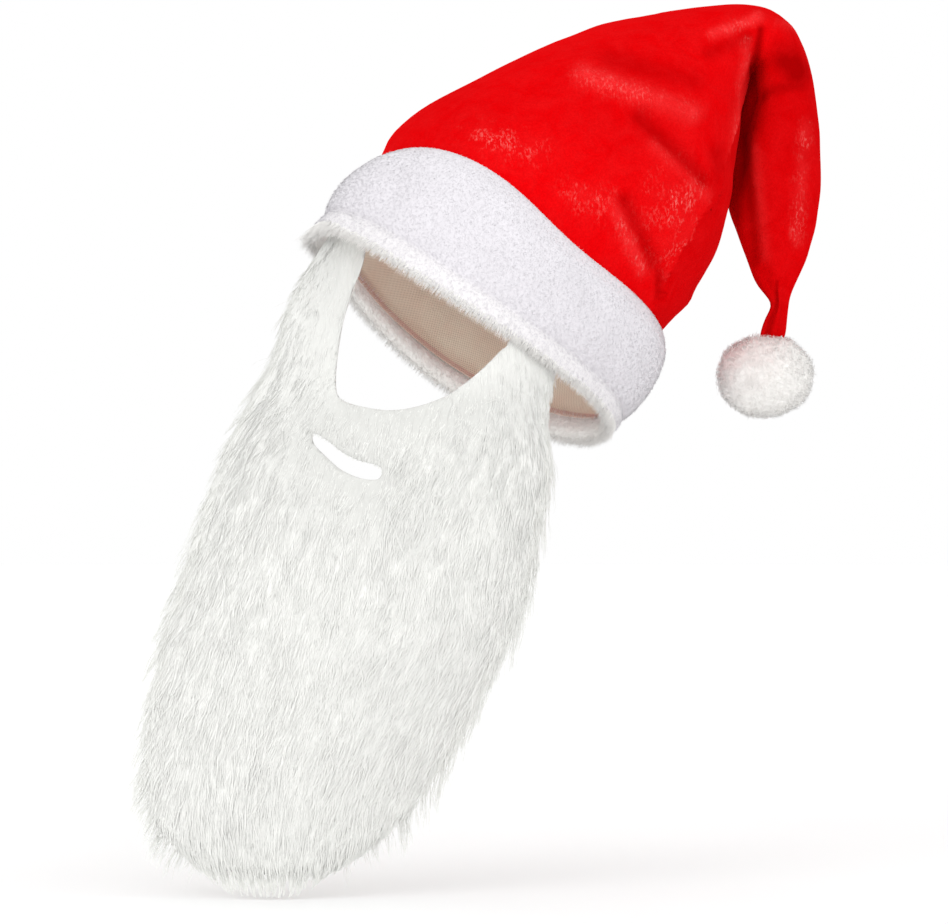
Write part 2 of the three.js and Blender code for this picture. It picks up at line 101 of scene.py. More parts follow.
# Middle line of the crown and its tail, millimetres, and the steps that it is searched in
CROWN_MIDDLE = (
    (28, 9, 45), (58.7, 17, 73.8), (79.7, 21, 92.5), (97.2, 24, 109.1), (114.7, 26, 127),
    (132.6, 28, 142.9), (146.5, 30, 152), (157.6, 31, 149.6), (161.9, 33, 134), (161.6, 34, 105),
    (161, 32, 76.5), (162.4, 28, 51.4), (162.1, 24, 31), (163.1, 21, 18), (159.6, 20, 0.2),
)
CROWN_STEPS = 120
# The tail takes over along the middle line; deep is painted shade laid over the whole tail
TAIL = {"starts": 6.6, "over": 0.8, "deep": 0.4}

# Sides of the crown that face the front: they get a finer mesh, and the folds fade in over them
CROWN_FRONT = -0.25
CROWN_FACING = {"from": 0.02, "over": 0.3}

# Fuller places of the crown, millimetres: over the seam at the left, the upper left and right sides,
# and a bump at the rear. The crown comes free of the band between the heights of CROWN_FREE.
CROWN_FREE = (50, 64)
CROWN_FULL = {"angle": -68, "width": 40, "height": 78, "spread": 26, "out": 4.2}
CROWN_UPPER_LEFT = {"toward": (-0.52, 0.0, 0.85), "facing": (0.2, 0.8), "out": 1.7}
CROWN_RIGHT = {"toward": (0.94, 0.0, 0.34), "facing": (0.5, 0.95), "height": (20, 45), "out": 1.4}
CROWN_REAR_BUMP = {"place": (78, 32, 162), "spread": 15, "out": 2.6}

# The narrow neck of the tail over the pompom, and the soft ripple of the velour, millimetres
TAIL_WAIST = {"height": 19, "spread": 6, "side": (165, 158), "in": 2.6}
VELOUR_RIPPLE = {"broad": 38.0, "fine": 90.0, "share": 0.5, "out": 0.8, "starts": 1.0, "over": 1.5}

# Folds on the front of the crown and the tail, millimetres seen from the front (x, z).
# rise is outwards; light is painted highlight, deep painted shade, brushed painted sheen on brushed nap.
NAP_PAINTED_LIGHT = ("light", "deep", "brushed")
VELOUR_FOLDS = (
    {"name": "long ridge", "start": (62, 128), "end": (114, 111), "width": 5.0, "rise": 1.8,
     "light": 0.9, "brushed": 0.45},
    {"name": "hollow over the ridge", "start": (76, 138), "end": (118, 128), "width": 6.0, "rise": -1.0,
     "deep": 0.5},
    {"name": "crease under the ridge", "start": (90, 108), "end": (122, 78), "width": 4.5, "rise": -1.8,
     "deep": 0.75},
    {"name": "shoulder of the bulge", "start": (97, 92), "end": (122, 70), "width": 4.0, "rise": 1.0,
     "light": 0.45, "brushed": 0.25},
    {"name": "bulge", "start": (107, 68), "end": (110, 50), "width": 12.0, "rise": 1.2,
     "light": 0.2, "brushed": 1.0},
    {"name": "slanting ridge", "start": (75, 64), "end": (90, 33), "width": 3.4, "rise": 1.6,
     "light": 0.7, "brushed": 0.7},
    {"name": "slanting crease", "start": (82, 66), "end": (97, 36), "width": 3.6, "rise": -1.8,
     "deep": 0.85},
    {"name": "crease at the band", "start": (100, 32), "end": (101, 12), "width": 2.6, "rise": -1.6,
     "deep": 0.8},
    {"name": "fold at the band", "start": (104, 30), "end": (112, 20), "width": 2.6, "rise": 1.2,
     "light": 0.6, "brushed": 0.3},
    {"name": "brushed nap at the left", "start": (10, 95), "end": (36, 90), "width": 6.5, "rise": 0.4,
     "light": 0.15, "brushed": 0.75},
    {"name": "brushed nap in the middle", "start": (58, 69), "end": (70, 64), "width": 7.0, "rise": 0.3,
     "light": 0.15, "brushed": 0.6},
    {"name": "light streak at the top", "start": (127, 152), "end": (151, 162), "width": 2.6, "rise": 1.0,
     "light": 1.0, "brushed": 0.45},
    {"name": "hollow under the streak", "start": (126, 143), "end": (146, 152), "width": 4.0, "rise": -1.0,
     "deep": 0.55},
    {"name": "edge beside the tail", "start": (134, 70), "end": (146, 150), "width": 2.8, "rise": 0.8,
     "light": 0.7, "brushed": 0.35},
    {"name": "fold line over the tail", "start": (148.5, 128), "end": (153, 157), "width": 1.8, "rise": -1.0,
     "deep": 1.2},
    {"name": "shade beside the bulge", "start": (129, 92), "end": (129, 52), "width": 5.0, "rise": -0.5,
     "deep": 0.6},
)
TAIL_FOLDS = (
    {"name": "shade beside the crown", "start": (141, 66), "end": (152, 153), "width": 5.5, "rise": -0.8,
     "deep": 1.0},
    {"name": "crease across the tail", "start": (152, 124), "end": (175, 130), "width": 3.8, "rise": -2.0,
     "deep": 1.0},
    {"name": "shade at the tail's top", "start": (158, 149), "end": (172, 136), "width": 9.0, "rise": -0.8,
     "deep": 1.4},
    {"name": "shoulder of the tail", "start": (151, 162), "end": (172, 159), "width": 2.8, "rise": 1.0,
     "light": 2.0, "brushed": 0.4},
    {"name": "ridge down the tail", "start": (149, 104), "end": (156, 44), "width": 3.0, "rise": 1.2,
     "light": 0.5},
    {"name": "hollow beside that ridge", "start": (144, 100), "end": (151, 40), "width": 3.6, "rise": -1.0,
     "deep": 0.8},
    {"name": "twist in the neck", "start": (162, 30), "end": (157, 3), "width": 1.6, "rise": -0.8,
     "deep": 1.0},
    {"name": "outer edge of the tail", "start": (176, 110), "end": (172, 52), "width": 3.4, "rise": 0.4,
     "light": 0.5, "brushed": 0.5},
)

# Shape of the band, millimetres and degrees round the hat from the face. A pair is where a change
# starts and where it is full: heights, or distances out from the oval. The seam and the nub go out
# by per cent of their distance from the hat's middle, which is about as many millimetres.
PER_CENT = 0.01
BAND_LUMPS = {"broad": 26.0, "fine": 70.0, "share": 0.4, "out": 0.8, "sink": 1.2, "height": (56, 47)}
SEAM_PULL = {"height": (48, 54), "in": 1.6}
SEAM_REACH = (24, 52)
SEAM_RUN = (
    {"angle": -62, "width": 34, "up": -6.0, "out": -2.5},
    {"angle": 30, "width": 22, "up": -4.0, "out": 0.0},
    {"angle": 76, "width": 24, "up": 1.5, "out": 0.0},
)
HEM_STITCH = {"height": 9.8, "width": 1.3, "in": 1.1}
HEM_LIP = {"out": (-6, -1), "height": (7, 2), "down": 3.0}
HEM_TURN_UP = {"rises": (5, 8.5), "ends": (12, 10), "up": 2.4}
HEM_NUB = {"angle": -82, "width": 13, "height": (11, 5), "out": 6.0}
HEM_TINT = {"height": (11, 9), "share": 0.35}
BAND_FLAT = {"angle": -88, "width": 30, "height": 34, "spread": 22, "in": 5.0}
BAND_FACING = {"from": 0.1, "over": 0.4}

# Soft folds on the front of the band, millimetres seen from the front (x, z)
BAND_FOLDS = (
    {"name": "middle dent", "start": (12, 61), "end": (21, 32), "width": 5.0, "rise": -1.6},
    {"name": "swell beside it", "start": (24, 58), "end": (36, 30), "width": 6.0, "rise": 1.2},
    {"name": "left dent", "start": (-28, 83), "end": (-31, 64), "width": 3.5, "rise": -1.2},
    {"name": "left swell", "start": (-20, 80), "end": (-22, 60), "width": 5.0, "rise": 0.9},
    {"name": "right dent", "start": (62, 28), "end": (70, 8), "width": 5.0, "rise": -1.2},
    {"name": "left end", "start": (-48, 72), "end": (-52, 56), "width": 4.0, "rise": -1.0},
)

# Pile of the band and of its hem. height is over the rim, millimetres; outer is 1 on the band's
# outside and -1 on its inside; up, down, aside and stir mix the way that strands lie; long is
# a share of the pile's length; shine is how much strands take the light as the band's surface does.
BAND_PILE = {
    "height": (2.0, math.inf), "outer": (0, math.inf), "angle": ANY,
    "up": 0.3, "down": 0.7, "stir": 0.5, "long": (0.6, 1.15)}
HEM_PILE = (
    {"name": "lip", "share": 0.45, "height": (-math.inf, 2.5), "outer": (-0.3, math.inf), "angle": ANY,
     "up": 0.3, "down": 1.0, "aside": 0.0, "stir": 0.35, "long": (0.55, 1.15), "shine": 0.0},
    {"name": "inner side", "share": 0.37, "height": (-math.inf, 9.5), "outer": (-math.inf, 0), "angle": ANY,
     "up": 0.6, "down": 0.6, "aside": 0.0, "stir": 0.5, "long": (0.5, 0.9), "shine": 0.1},
    {"name": "over the lining", "share": 0.18, "height": (6, 13), "outer": (-math.inf, 0.2), "angle": ANY,
     "up": 0.4, "down": -1.0, "aside": 0.0, "stir": 0.4, "long": (0.4, 0.75), "shine": 0.1},
    {"name": "tuft", "share": 0.0667, "height": (-math.inf, 7), "outer": ANY, "angle": (-100, -72),
     "up": 0.3, "down": 1.0, "aside": 0.5, "stir": 0.4, "long": (0.8, 1.7), "shine": 0.0},
)
LIP_LONGER = {"angle": -74, "width": 20, "by": 1.1}
LIP_SHINE = {"toward": (0.0, -0.6, 0.0), "front": (-0.35, 0.1)}
FUZZ = {"root": 0.3 * MM, "thin": 0.28 * MM, "thick": 0.5 * MM}

# Lining, millimetres: its lower edge is tucked under the hem, and a pink line runs along its lower edge
LINING_TUCK = {"height": (15, 11), "in": 2.2, "down": 1.6}
LINING_PITCH = {"X": 1.5 * MM, "Y": 1.3 * MM}
LINING_PINK_LINE = {"from": 13.2 * MM, "to": 12.6 * MM, "colour": (0.70, 0.42, 0.38)}

# Guide lines of the beard's cloth, millimetres: left edge, middle and right edge.
# The first two rows are inside the hem.
BEARD_TUCK = (
    {"out": -10.2, "up": 8.0},
    {"out": -10.2, "up": -2.0},
)
BEARD_ROWS = (
    {"left": (-82, -55, 18), "mid": (-16, -112, -13), "right": (43, -85, -41)},
    {"left": (-91, -72, -13), "mid": (-22, -124, -40), "right": (45, -95, -65)},
    {"left": (-112, -88, -56), "mid": (-34, -130, -75), "right": (40, -102, -94)},
    {"left": (-130, -98, -109), "mid": (-47, -132, -120), "right": (31, -107, -132)},
    {"left": (-142, -104, -152), "mid": (-60, -131, -157), "right": (16, -109, -166)},
    {"left": (-148, -106, -201), "mid": (-75, -129, -200), "right": (-6, -110, -204)},
    {"left": (-143, -108, -232), "mid": (-86, -127, -237), "right": (-30, -111, -233)},
    {"left": (-125, -112, -251), "mid": (-88, -125, -257), "right": (-52, -114, -250)},
)
BEARD_TUCK_ANGLES = {"left": -71, "mid": 0, "right": 55}
BEARD_HALF_ANGLE = math.radians(55)
BEARD_LAST_ROW = len(BEARD_TUCK) + len(BEARD_ROWS) - 1
BEARD_STEP = 0.01

# Openings in the beard seen from the front, millimetres (x, z), and the block that cuts them
FACE_OPENING = (
    (-44, 80), (-45, 41), (-51, 21), (-55, 6), (-57, -8), (-58, -22), (-56, -31), (-46, -35),
    (-32, -37), (-18, -35), (-3, -29), (10, -19), (20, -9), (27, 0), (40, 40),
)
MOUTH_SLIT = (
    (-68.3, -48), (-62, -51), (-54.3, -57), (-46, -61), (-37.5, -63.2), (-35.3, -66),
    (-37.5, -69.7), (-45, -69.4), (-54.3, -65.6), (-62, -59.2), (-68, -53),
)
OPENING_CUT = {"front": -0.2, "depth": 0.17}
FAR_AWAY = 1.0e3

# Ground cloth of the beard: its grid, and half its width and the height of a row on its map, metres
CLOTH_COLUMNS = 70
CLOTH_LINES = 130
CLOTH_MAP = {"half_width": 0.095, "row": 0.036}

# Short wool under the pile: where it thins out, millimetres, and its lumps
UNDERCOAT = {"half_width": 90.0, "row": 30.0, "edge": 7.0, "opening": 3.0, "even": 0.85, "lumpy": 0.3}
UNDERCOAT_LUMPS = (
    {"across": 11.0, "row": 2.6, "place": 0.0, "share": 1.0},
    {"across": 24.0, "row": 5.0, "place": 7.0, "share": 0.6},
)

# Painted shade on the short pile by the mouth, millimetres: gap to an opening, height, how far left on the
# strap
CROPPED_SHADE = {"gap": (48, 8), "height": (-14, -40), "left": (10, 50), "strap": 0.5}

# Length of the beard's pile down the beard, millimetres, by row of the guide lines
PILE_BY_ROW = (
    {"row": 0.0, "length": 9.0},
    {"row": 2.0, "length": 13.0},
    {"row": 3.0, "length": 20.0},
    {"row": 4.5, "length": 27.0},
    {"row": 7.0, "length": 29.0},
    {"row": 8.3, "length": 22.0},
    {"row": 9.0, "length": 11.5},
)
PILE_AT_OPENING = {"share": 0.32, "grows_over": 34.0 * MM, "shortest": 3.0 * MM}
PILE_OVER_OPENING = ((FACE_OPENING, 1.5 * MM), (MOUTH_SLIT, 1.2 * MM))

# Roots of the pile: the row where they start, and more of them at the beard's lower end
ROOTS = {"first_row": 0.75, "steps": 400, "more": 0.9, "more_rows": (8.0, 8.9)}

# Locks of the pile. Leans are in degrees, over the cloth; a pair is a range, or the rows or
# the way from the middle (0) to the edge (1) over which a change comes in. LOCK_AREA is
# the cloth that the locks share out, square metres.
LOCK_AREA = 0.044
LOCK_LEAN = {"spread": 5, "sway": 14, "sway_scale": 22.0, "edge": 24, "edge_power": 5}
LOCK_LEAN_LEFT = {"lean": 20, "rows": (5.0, 7.5), "edge": (0.4, 1.0)}
LOCK_SWING = 1.4 * MM
LOCK_RISE = (0.5, 1.3)
LOCK_STRETCH = (0.75, 1.15)
LOCK_HOLD = {"gap": 2.0 * MM, "over": 18.0 * MM}
LOCK_HOLD_LOW = {"more": 0.4, "rows": (7.8, 8.6), "edge": (0.3, 0.8), "edge_less": 0.9}
LOCK_HOLD_CORNER = {"less": 0.5, "rows": (7.0, 7.8), "edge": (0.5, 0.9)}

# Strands of the locks
STRAND_STATIONS = 6
STRAND_LEAN = 5
STRAY = {"share": 0.06, "lean": 18, "rise": 2.5, "hold": 0.2}
STRAND_LONG = (0.75, 1.1)
STRAND_RISE = (0.5, 1.3)
STRAND_WIDE = (0.75, 1.3)
STRAND_TIP = 0.6
STRAND_FULL_LENGTH = 20.0 * MM
STRAND_SHORT = 0.2
STRAND_SINK = 0.3 * MM
CORNER_SHORTER = {"less": 0.12, "rows": (7.4, 8.4), "edge": (0.5, 0.95)}
LOWER_END = {"rows": (7.9, 8.7), "uneven": (-0.35, 0.5), "clear": 0.5 * MM, "pressed": 0.85}
HANG = {"toward": (0.14, 0.0, -0.99), "share": 0.75, "rows": (6.0, 8.6), "edge": (0.6, 1.0), "less": 0.25}
HANG_SPREAD = {"edge": (0.3, 0.9), "left": 0.6, "right": 0.3}
FREE = {"edge": (0.97, 1.12), "rows": (6.6, 8.0), "bend_limit": 1.25}

# Waves of a strand: turns of its crimp for each station, turns of its bob over its length, where
# in a turn they may start, the part of a half turn that it arches over, and how soon its crimp
# is full: 3 is after a third of its length
CRIMP_TURNS = 1.9 / 4
BOB_TURNS = 1.7
ANY_PHASE = (0, 6.28)
ARCH_TURN = 0.8
CRIMP_STARTS = 3

# Light on the pile: as on the cloth, tilted across each lock, and on the strand itself at the edges
PILE_TILT = 0.18
PILE_EDGE = {"edge": (0.76, 0.9), "rows": (7.9, 8.5), "own": 0.95}
PILE_ROUND = 0.12
# Each strand's tone: at random by lock and by strand, with painted shade on the short pile round the mouth
PILE_SHADE = {"least": 0.06, "lock": 0.12, "strand": 0.05, "cropped_shade": 0.7}

# A strand is a closed three-sided spike. On its map, the strand's own shade runs across
# and the way from root to tip runs up.
STRAND_CORNERS = np.radians((30.0, 150.0, 270.0))
STRAND_FLATNESS = 0.6
STRAND_ROUND = 0.2
STRAND_MAP_EDGE = 0.01

# Pompom, millimetres
POMPOM_MIDDLE = (156.5, 20.0, -17.8)
POMPOM_CORE = 23.2
POMPOM_FLATTENED = 0.88
POMPOM_PUFFS = {"broad": 75.0, "fine": 160.0, "share": 0.5, "out": 1.3}
POMPOM_NECK = 7.0 * MM
POMPOM_CURL = {"root": 0.4 * MM, "wild": 0.9, "bend": 0.5, "half_way": 0.5, "reach": 0.7, "droop": 0.9}
POMPOM_LONG = (0.6, 1.2)
POMPOM_RISE = (0.15, 0.5)
POMPOM_WIDE = (0.25, 0.42)
POMPOM_TAPER = (1.0, 0.8)
POMPOM_SHINE = 0.2


def colour_setting(name, description, default):
    return FloatVectorProperty(
        name=name, description=description, subtype="COLOR", size=3, min=0, max=1, default=default)


def length_setting(name, description, millimetres):
    return FloatProperty(name=name, description=description, unit="LENGTH", default=millimetres * MM)


def count_setting(name, description, default):
    return IntProperty(name=name, description=description, min=100, default=default)


class HatSettings(bpy.types.PropertyGroup):
    """Sizes and colours of the hat and the beard."""

    velour_red: colour_setting("Velour red", "Colour of the crown's velour", (0.775, 0.0012, 0.0026))
    # Painted shade in the velour's creases, hollows and over its tail, and its own darker tone at random
    velour_deep_and_shade: colour_setting(
        "Velour deep red", "Colour of the velour where its nap lies down", (0.36, 0.0004, 0.0010))
    # Brushed nap, painted as a pinkish sheen
    velour_brushed_sheen: colour_setting(
        "Velour brushed", "Colour of the velour where its nap is brushed up", (0.90, 0.30, 0.27))
    # Painted highlight on the velour's ridges, and painted sheen at random over its nap
    velour_highlight: colour_setting(
        "Velour light red", "Colour of the velour on its ridges", (0.87, 0.034, 0.036))
    plush_white: colour_setting("Plush white", "Colour of the band's plush", (0.722, 0.700, 0.736))
    hem_cream: colour_setting("Hem cream", "Colour of the band's hem", (0.985, 0.968, 0.94))
    beard_white: colour_setting("Beard white", "Colour of the beard's pile", (0.922, 0.928, 0.892))
    beard_root: colour_setting(
        "Beard root grey", "Colour of the beard's pile at its roots", (0.91, 0.91, 0.88))
    pompom_white: colour_setting("Pompom white", "Colour of the pompom's pile", (0.995, 0.978, 0.95))
    lining_beige: colour_setting("Lining beige", "Colour of the mesh lining", (0.97, 0.89, 0.72))
    beard_strands: count_setting("Beard strands", "Number of strands in the beard's pile", 18600)
    beard_strand_width: length_setting("Beard strand width", "Width of one strand of the beard", 0.38)
    beard_lock_spacing: length_setting("Beard lock spacing", "Distance between neighbouring locks", 4.2)
    beard_lock_hold: FloatProperty(
        name="Beard lock hold", description="How much the strands of a lock run together at their tips",
        subtype="FACTOR", min=0.0, max=1.0, default=0.36)
    beard_lift: length_setting("Beard lift", "Height of the beard's pile over its cloth", 0.65)
    beard_crimp: length_setting("Beard crimp", "Width of the small waves in the beard's pile", 0.45)
    beard_bob: length_setting(
        "Beard bob", "Height by which strands dip in and out of the wool under them", 0.4)
    beard_undercoat: length_setting(
        "Beard undercoat", "Height of the dense short wool under the long pile", 2.4)
    beard_cloth: length_setting("Beard cloth", "Thickness of the cloth that carries the beard's pile", 2.2)
    band_strands: count_setting("Band strands", "Number of tufts in the band's plush", 36000)
    band_fringe: count_setting("Band edge strands", "Number of strands along the band's lower edge", 16500)
    band_fringe_length: length_setting(
        "Band edge length", "Length of the strands along the band's lower edge", 5.0)
    band_pile: length_setting("Band pile", "Length of the band's plush", 1.7)
    pompom_strands: count_setting("Pompom strands", "Number of strands in the pompom", 6500)
    pompom_pile: length_setting("Pompom pile", "Length of the pompom's pile", 4.2)


def settings():
    return bpy.context.scene.hat_settings


def rng_for(piece):
    return np.random.default_rng(SEEDS[piece])


def unit(vectors):
    return vectors / np.maximum(np.linalg.norm(vectors, axis=-1, keepdims=True), 1e-12)


def ramp(values, low, high):
    """0 at low and 1 at high, eased at both ends."""
    share = np.clip((values - low) / (high - low), 0, 1)
    return share * share * (3 - 2 * share)


def bell(values, middle, spread):
    """1 at the middle, fading over a spread to both sides."""
    return np.exp(-(((values - middle) / spread) ** 2))


def between(values, limits):
    return (values > limits[0]) & (values < limits[1])


def lumpy(points, lumps):
    """Soft unevenness at points, with broad lumps and a share of fine ones."""
    return np.array([
        noise.noise(p * lumps["broad"]) + lumps["share"] * noise.noise(p * lumps["fine"])
        for p in map(Vector, points)])


def nearest(places, points):
    """The number of the place that is nearest to each point."""
    tree = KDTree(len(places))
    for i, place in enumerate(places):
        tree.insert(place, i)
    tree.balance()
    return np.array([tree.find(point)[1] for point in points])


def deselect():
    bpy.ops.object.select_all(action="DESELECT")


def pick(piece):
    deselect()
    piece.select_set(True)
    bpy.context.view_layer.objects.active = piece


def link(piece):
    bpy.context.scene.collection.objects.link(piece)
    return piece


def edit(*steps):
    """Takes steps in edit mode on the active piece: each is an operator and its choices."""
    bpy.ops.object.mode_set(mode="EDIT")
    for operator, choices in steps:
        operator(**choices)
    bpy.ops.object.mode_set(mode="OBJECT")


def start_from_solid(node, name):
    """A merged copy of a solid's mesh, to start a soft piece from."""
    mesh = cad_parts[node].data.copy()
    mesh.name = name
    mesh.materials.clear()
    piece = link(bpy.data.objects.new(name, mesh))
    pick(piece)
    edit(
        (bpy.ops.mesh.select_all, {"action": "SELECT"}),
        (bpy.ops.mesh.customdata_custom_splitnormals_clear, {}),
        (bpy.ops.mesh.remove_doubles, {"threshold": MERGE_GAP}),
        (bpy.ops.mesh.tris_convert_to_quads, {"face_threshold": QUAD_ANGLE, "shape_threshold": QUAD_ANGLE}))
    return piece


def apply_modifier(piece, kind, **choices):
    pick(piece)
    modifier = piece.modifiers.new(kind.title(), kind)
    for choice, value in choices.items():
        setattr(modifier, choice, value)
    bpy.ops.object.modifier_apply(modifier=modifier.name)


def soften(piece):
    apply_modifier(piece, "SUBSURF", levels=SOFT_LEVELS, render_levels=SOFT_LEVELS)
    bpy.ops.object.shade_smooth()


def finish_piece(piece, material, node=None):
    if material:
        piece.data.materials.clear()
        piece.data.materials.append(material)
    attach(piece, "root")
    if node:
        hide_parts(node)


def vertex_array(mesh):
    points = np.empty(len(mesh.vertices) * 3)
    mesh.vertices.foreach_get("co", points)
    return points.reshape(-1, 3)


def normal_array(mesh):
    normals = np.empty(len(mesh.vertices) * 3)
    mesh.vertex_normals.foreach_get("vector", normals)
    return normals.reshape(-1, 3)


def whole_numbers(items, key):
    """One whole number from each of a mesh's loops or faces."""
    numbers = np.empty(len(items), dtype=np.int32)
    items.foreach_get(key, numbers)
    return numbers


def move_vertices(mesh, points):
    mesh.vertices.foreach_set("co", points.ravel())
    mesh.update()


def keep_values(mesh, name, values):
    """Notes a value at each vertex, for a material to read."""
    mesh.attributes.new(name, "FLOAT", "POINT").data.foreach_set("value", values)


def lay_map(mesh, name, places):
    """Gives a mesh one map, with a place for each loop."""
    for old in list(mesh.uv_layers):
        mesh.uv_layers.remove(old)
    mesh.uv_layers.new(name=name).uv.foreach_set("vector", places.ravel())


def scatter(piece, count, rng, keep=None):
    """Points spread evenly over a mesh, with the normal at each."""
    mesh = piece.data
    mesh.calc_loop_triangles()
    corners = np.empty(len(mesh.loop_triangles) * 3, dtype=np.int64)
    mesh.loop_triangles.foreach_get("vertices", corners)
    corners = corners.reshape(-1, 3)
    points = vertex_array(mesh)
    normals = normal_array(mesh)
    if keep is not None:
        good = keep(points[corners].mean(axis=1), unit(normals[corners].mean(axis=1)))
        corners = corners[good]
    a, b, c = (points[corners[:, i]] for i in range(3))
    areas = np.linalg.norm(np.cross(b - a, c - a), axis=1) / 2
    reach = np.cumsum(areas)
    spots = (np.arange(count) + rng.random(count)) / count * reach[-1]
    chosen = corners[np.minimum(np.searchsorted(reach, spots), len(corners) - 1)]
    s, t = np.sqrt(rng.random(count)), rng.random(count)
    share = np.stack((1 - s, s * (1 - t), s * t), axis=1)[:, :, None]
    return (points[chosen] * share).sum(axis=1), unit((normals[chosen] * share).sum(axis=1))


def strand_faces(rings):
    """Corner numbers of the triangles of one strand: its root, its sides and its tip."""
    faces = [(0, 2, 1)]
    for first in range(0, rings * 3, 3):
        for j in range(3):
            k = (j + 1) % 3
            if first + 3 == rings * 3:
                faces.append((first + j, first + k, first + 3))
            else:
                faces.append((first + j, first + k, first + 3 + k))
                faces.append((first + j, first + 3 + k, first + 3 + j))
    return np.asarray(faces)


def strand_piece(name, lines, up, width, taper, shade, shading, roundness=STRAND_ROUND):
    """One mesh of three-sided closed strands along the given lines, each ending in a point."""
    count, rings = lines.shape[0], lines.shape[1] - 1
    flow = np.empty_like(lines[:, :-1])
    flow[:, 0] = lines[:, 1] - lines[:, 0]
    flow[:, 1:] = lines[:, 2:] - lines[:, :-2]
    flow = unit(flow)
    side = unit(np.cross(up[:, None, :], flow))
    lift = np.cross(flow, side)
    wide = (width[:, None] * np.asarray(taper)[None, :] / 2)[:, :, None, None]
    ring = (
        lines[:, :-1, None, :]
        + side[:, :, None, :] * (np.cos(STRAND_CORNERS)[None, None, :, None] * wide)
        + lift[:, :, None, :] * (np.sin(STRAND_CORNERS)[None, None, :, None] * STRAND_FLATNESS * wide))
    each = rings * 3 + 1
    points = np.concatenate((ring.reshape(count, rings * 3, 3), lines[:, -1:, :]), axis=1).reshape(-1, 3)
    loops = (strand_faces(rings)[None, :, :] + (np.arange(count) * each)[:, None, None]).reshape(-1)
    mesh = bpy.data.meshes.new(name)
    mesh.vertices.add(len(points))
    mesh.vertices.foreach_set("co", points.ravel())
    mesh.loops.add(len(loops))
    mesh.loops.foreach_set("vertex_index", loops.astype(np.int32))
    mesh.polygons.add(len(loops) // 3)
    mesh.polygons.foreach_set("loop_start", np.arange(0, len(loops), 3, dtype=np.int32))
    along = np.append(np.repeat(np.arange(rings) / rings, 3), 1.0)
    beside = np.append(np.tile((-STRAND_MAP_EDGE, STRAND_MAP_EDGE, 0.0), rings), 0.0)
    margin = 2 * STRAND_MAP_EDGE
    strand_map = np.empty((count, each, 2))
    strand_map[:, :, 0] = np.clip(shade, margin, 1 - margin)[:, None] + beside[None, :]
    strand_map[:, :, 1] = STRAND_MAP_EDGE + (1 - margin) * along[None, :]
    lay_map(mesh, "OFBake", strand_map.reshape(-1, 2)[loops])
    mesh.update(calc_edges=True)
    mesh.shade_smooth()
    # Light falls on a strand as on the pile's surface, a little rounded
    edge = np.concatenate(
        ((ring - lines[:, :-1, None, :]).reshape(count, rings * 3, 3), np.zeros((count, 1, 3))), axis=1)
    soft = unit(shading.repeat(each, axis=0).reshape(count, each, 3) + roundness * unit(edge))
    mesh.normals_split_custom_set_from_vertices(soft.reshape(-1, 3).tolist())
    return link(bpy.data.objects.new(name, mesh))


def curve_points(points, at):
    """Points on a smooth curve through the given points, carried straight on past its last one."""
    points = np.asarray(points, dtype=float)
    last = len(points) - 1
    inside = np.clip(at, 0, last)
    first = np.minimum(inside.astype(int), last - 1)
    t = (inside - first)[..., None]
    padded = np.vstack((2 * points[0] - points[1], points, 2 * points[-1] - points[-2]))
    a, b, c, d = (padded[first + i] for i in range(4))
    place = 0.5 * (2 * b + (c - a) * t + (2 * a - 5 * b + 4 * c - d) * t**2 + (3 * b - a - 3 * c + d) * t**3)
    return place + np.maximum(at - last, 0)[..., None] * (points[-1] - points[-2])


def rim_wave(angle, up):
    """How far the rim, the seam or a line between them waves up at an angle round the hat."""
    share = np.clip(up / SEAM_HEIGHT, 0, 1)
    dip, twist, tilt = (RIM_WAVE[k] + (SEAM_WAVE[k] - RIM_WAVE[k]) * share for k in ("dip", "twist", "tilt"))
    return tilt * np.sin(angle) - dip * np.cos(2 * angle) - twist * np.sin(2 * angle)


def hat_pose():
    lean, roll, turn = (math.radians(a) for a in HAT_LEAN)
    spin = Euler((0, roll, 0)).to_matrix() @ Euler((lean, 0, 0)).to_matrix() @ Euler((0, 0, turn)).to_matrix()
    return np.asarray(spin)


def on_hat(points):
    """Points on the upright hat, millimetres, and their angles round it, 0 at the face."""
    local = (points / MM) @ hat_pose()
    return local, np.arctan2(local[:, 0] / OVAL_SIDE, -local[:, 1] / OVAL_FRONT)


def off_hat(local):
    """Points on the upright hat, put back on the leaning one."""
    return (local @ hat_pose().T) * MM


def over_rim(local, angle):
    """Height over the waving rim, millimetres."""
    return local[:, 2] - rim_wave(angle, local[:, 2])


def radial(local):
    """The level way out from the middle of the upright hat."""
    return unit(local * np.array((1.0, 1.0, 0.0)))


def round_about(angle, middle, width):
    """1 at an angle round the hat, fading over a width, degrees."""
    return bell((np.degrees(angle) - middle + 180) % 360 - 180, 0, width)


def hem_point(angle, out, up):
    """A point beside the hat's rim, in millimetres on the leaning hat."""
    place = np.array((
        (OVAL_SIDE + out) * math.sin(angle),
        -(OVAL_FRONT + out) * math.cos(angle),
        up + float(rim_wave(angle, up)),
    ))
    return hat_pose() @ place


def outline_edges(outline):
    """The straight edges of a closed outline, each as its two ends."""
    return zip(outline, outline[1:] + outline[:1])


def gap_to_line(spots, start, end):
    """Distance of each spot from the straight line between two ends."""
    start, edge = np.array(start, dtype=float), np.subtract(end, start).astype(float)
    share = np.clip(((spots - start) @ edge) / (edge @ edge), 0, 1)
    return np.linalg.norm(spots - start - share[:, None] * edge, axis=1)


def near_fold(points, fold):
    """1 on a fold's line seen from the front, fading over its width."""
    return bell(gap_to_line(points[:, (0, 2)] / MM, fold["start"], fold["end"]), 0, fold["width"])


def gap_to_openings(points):
    """Distance of each point from the beard's openings, seen from the front."""
    gap = np.full(len(points), FAR_AWAY)
    for outline in (FACE_OPENING, MOUTH_SLIT):
        for start, end in outline_edges(outline):
            gap = np.minimum(gap, gap_to_line(points[:, (0, 2)] / MM, start, end))
    return gap * MM


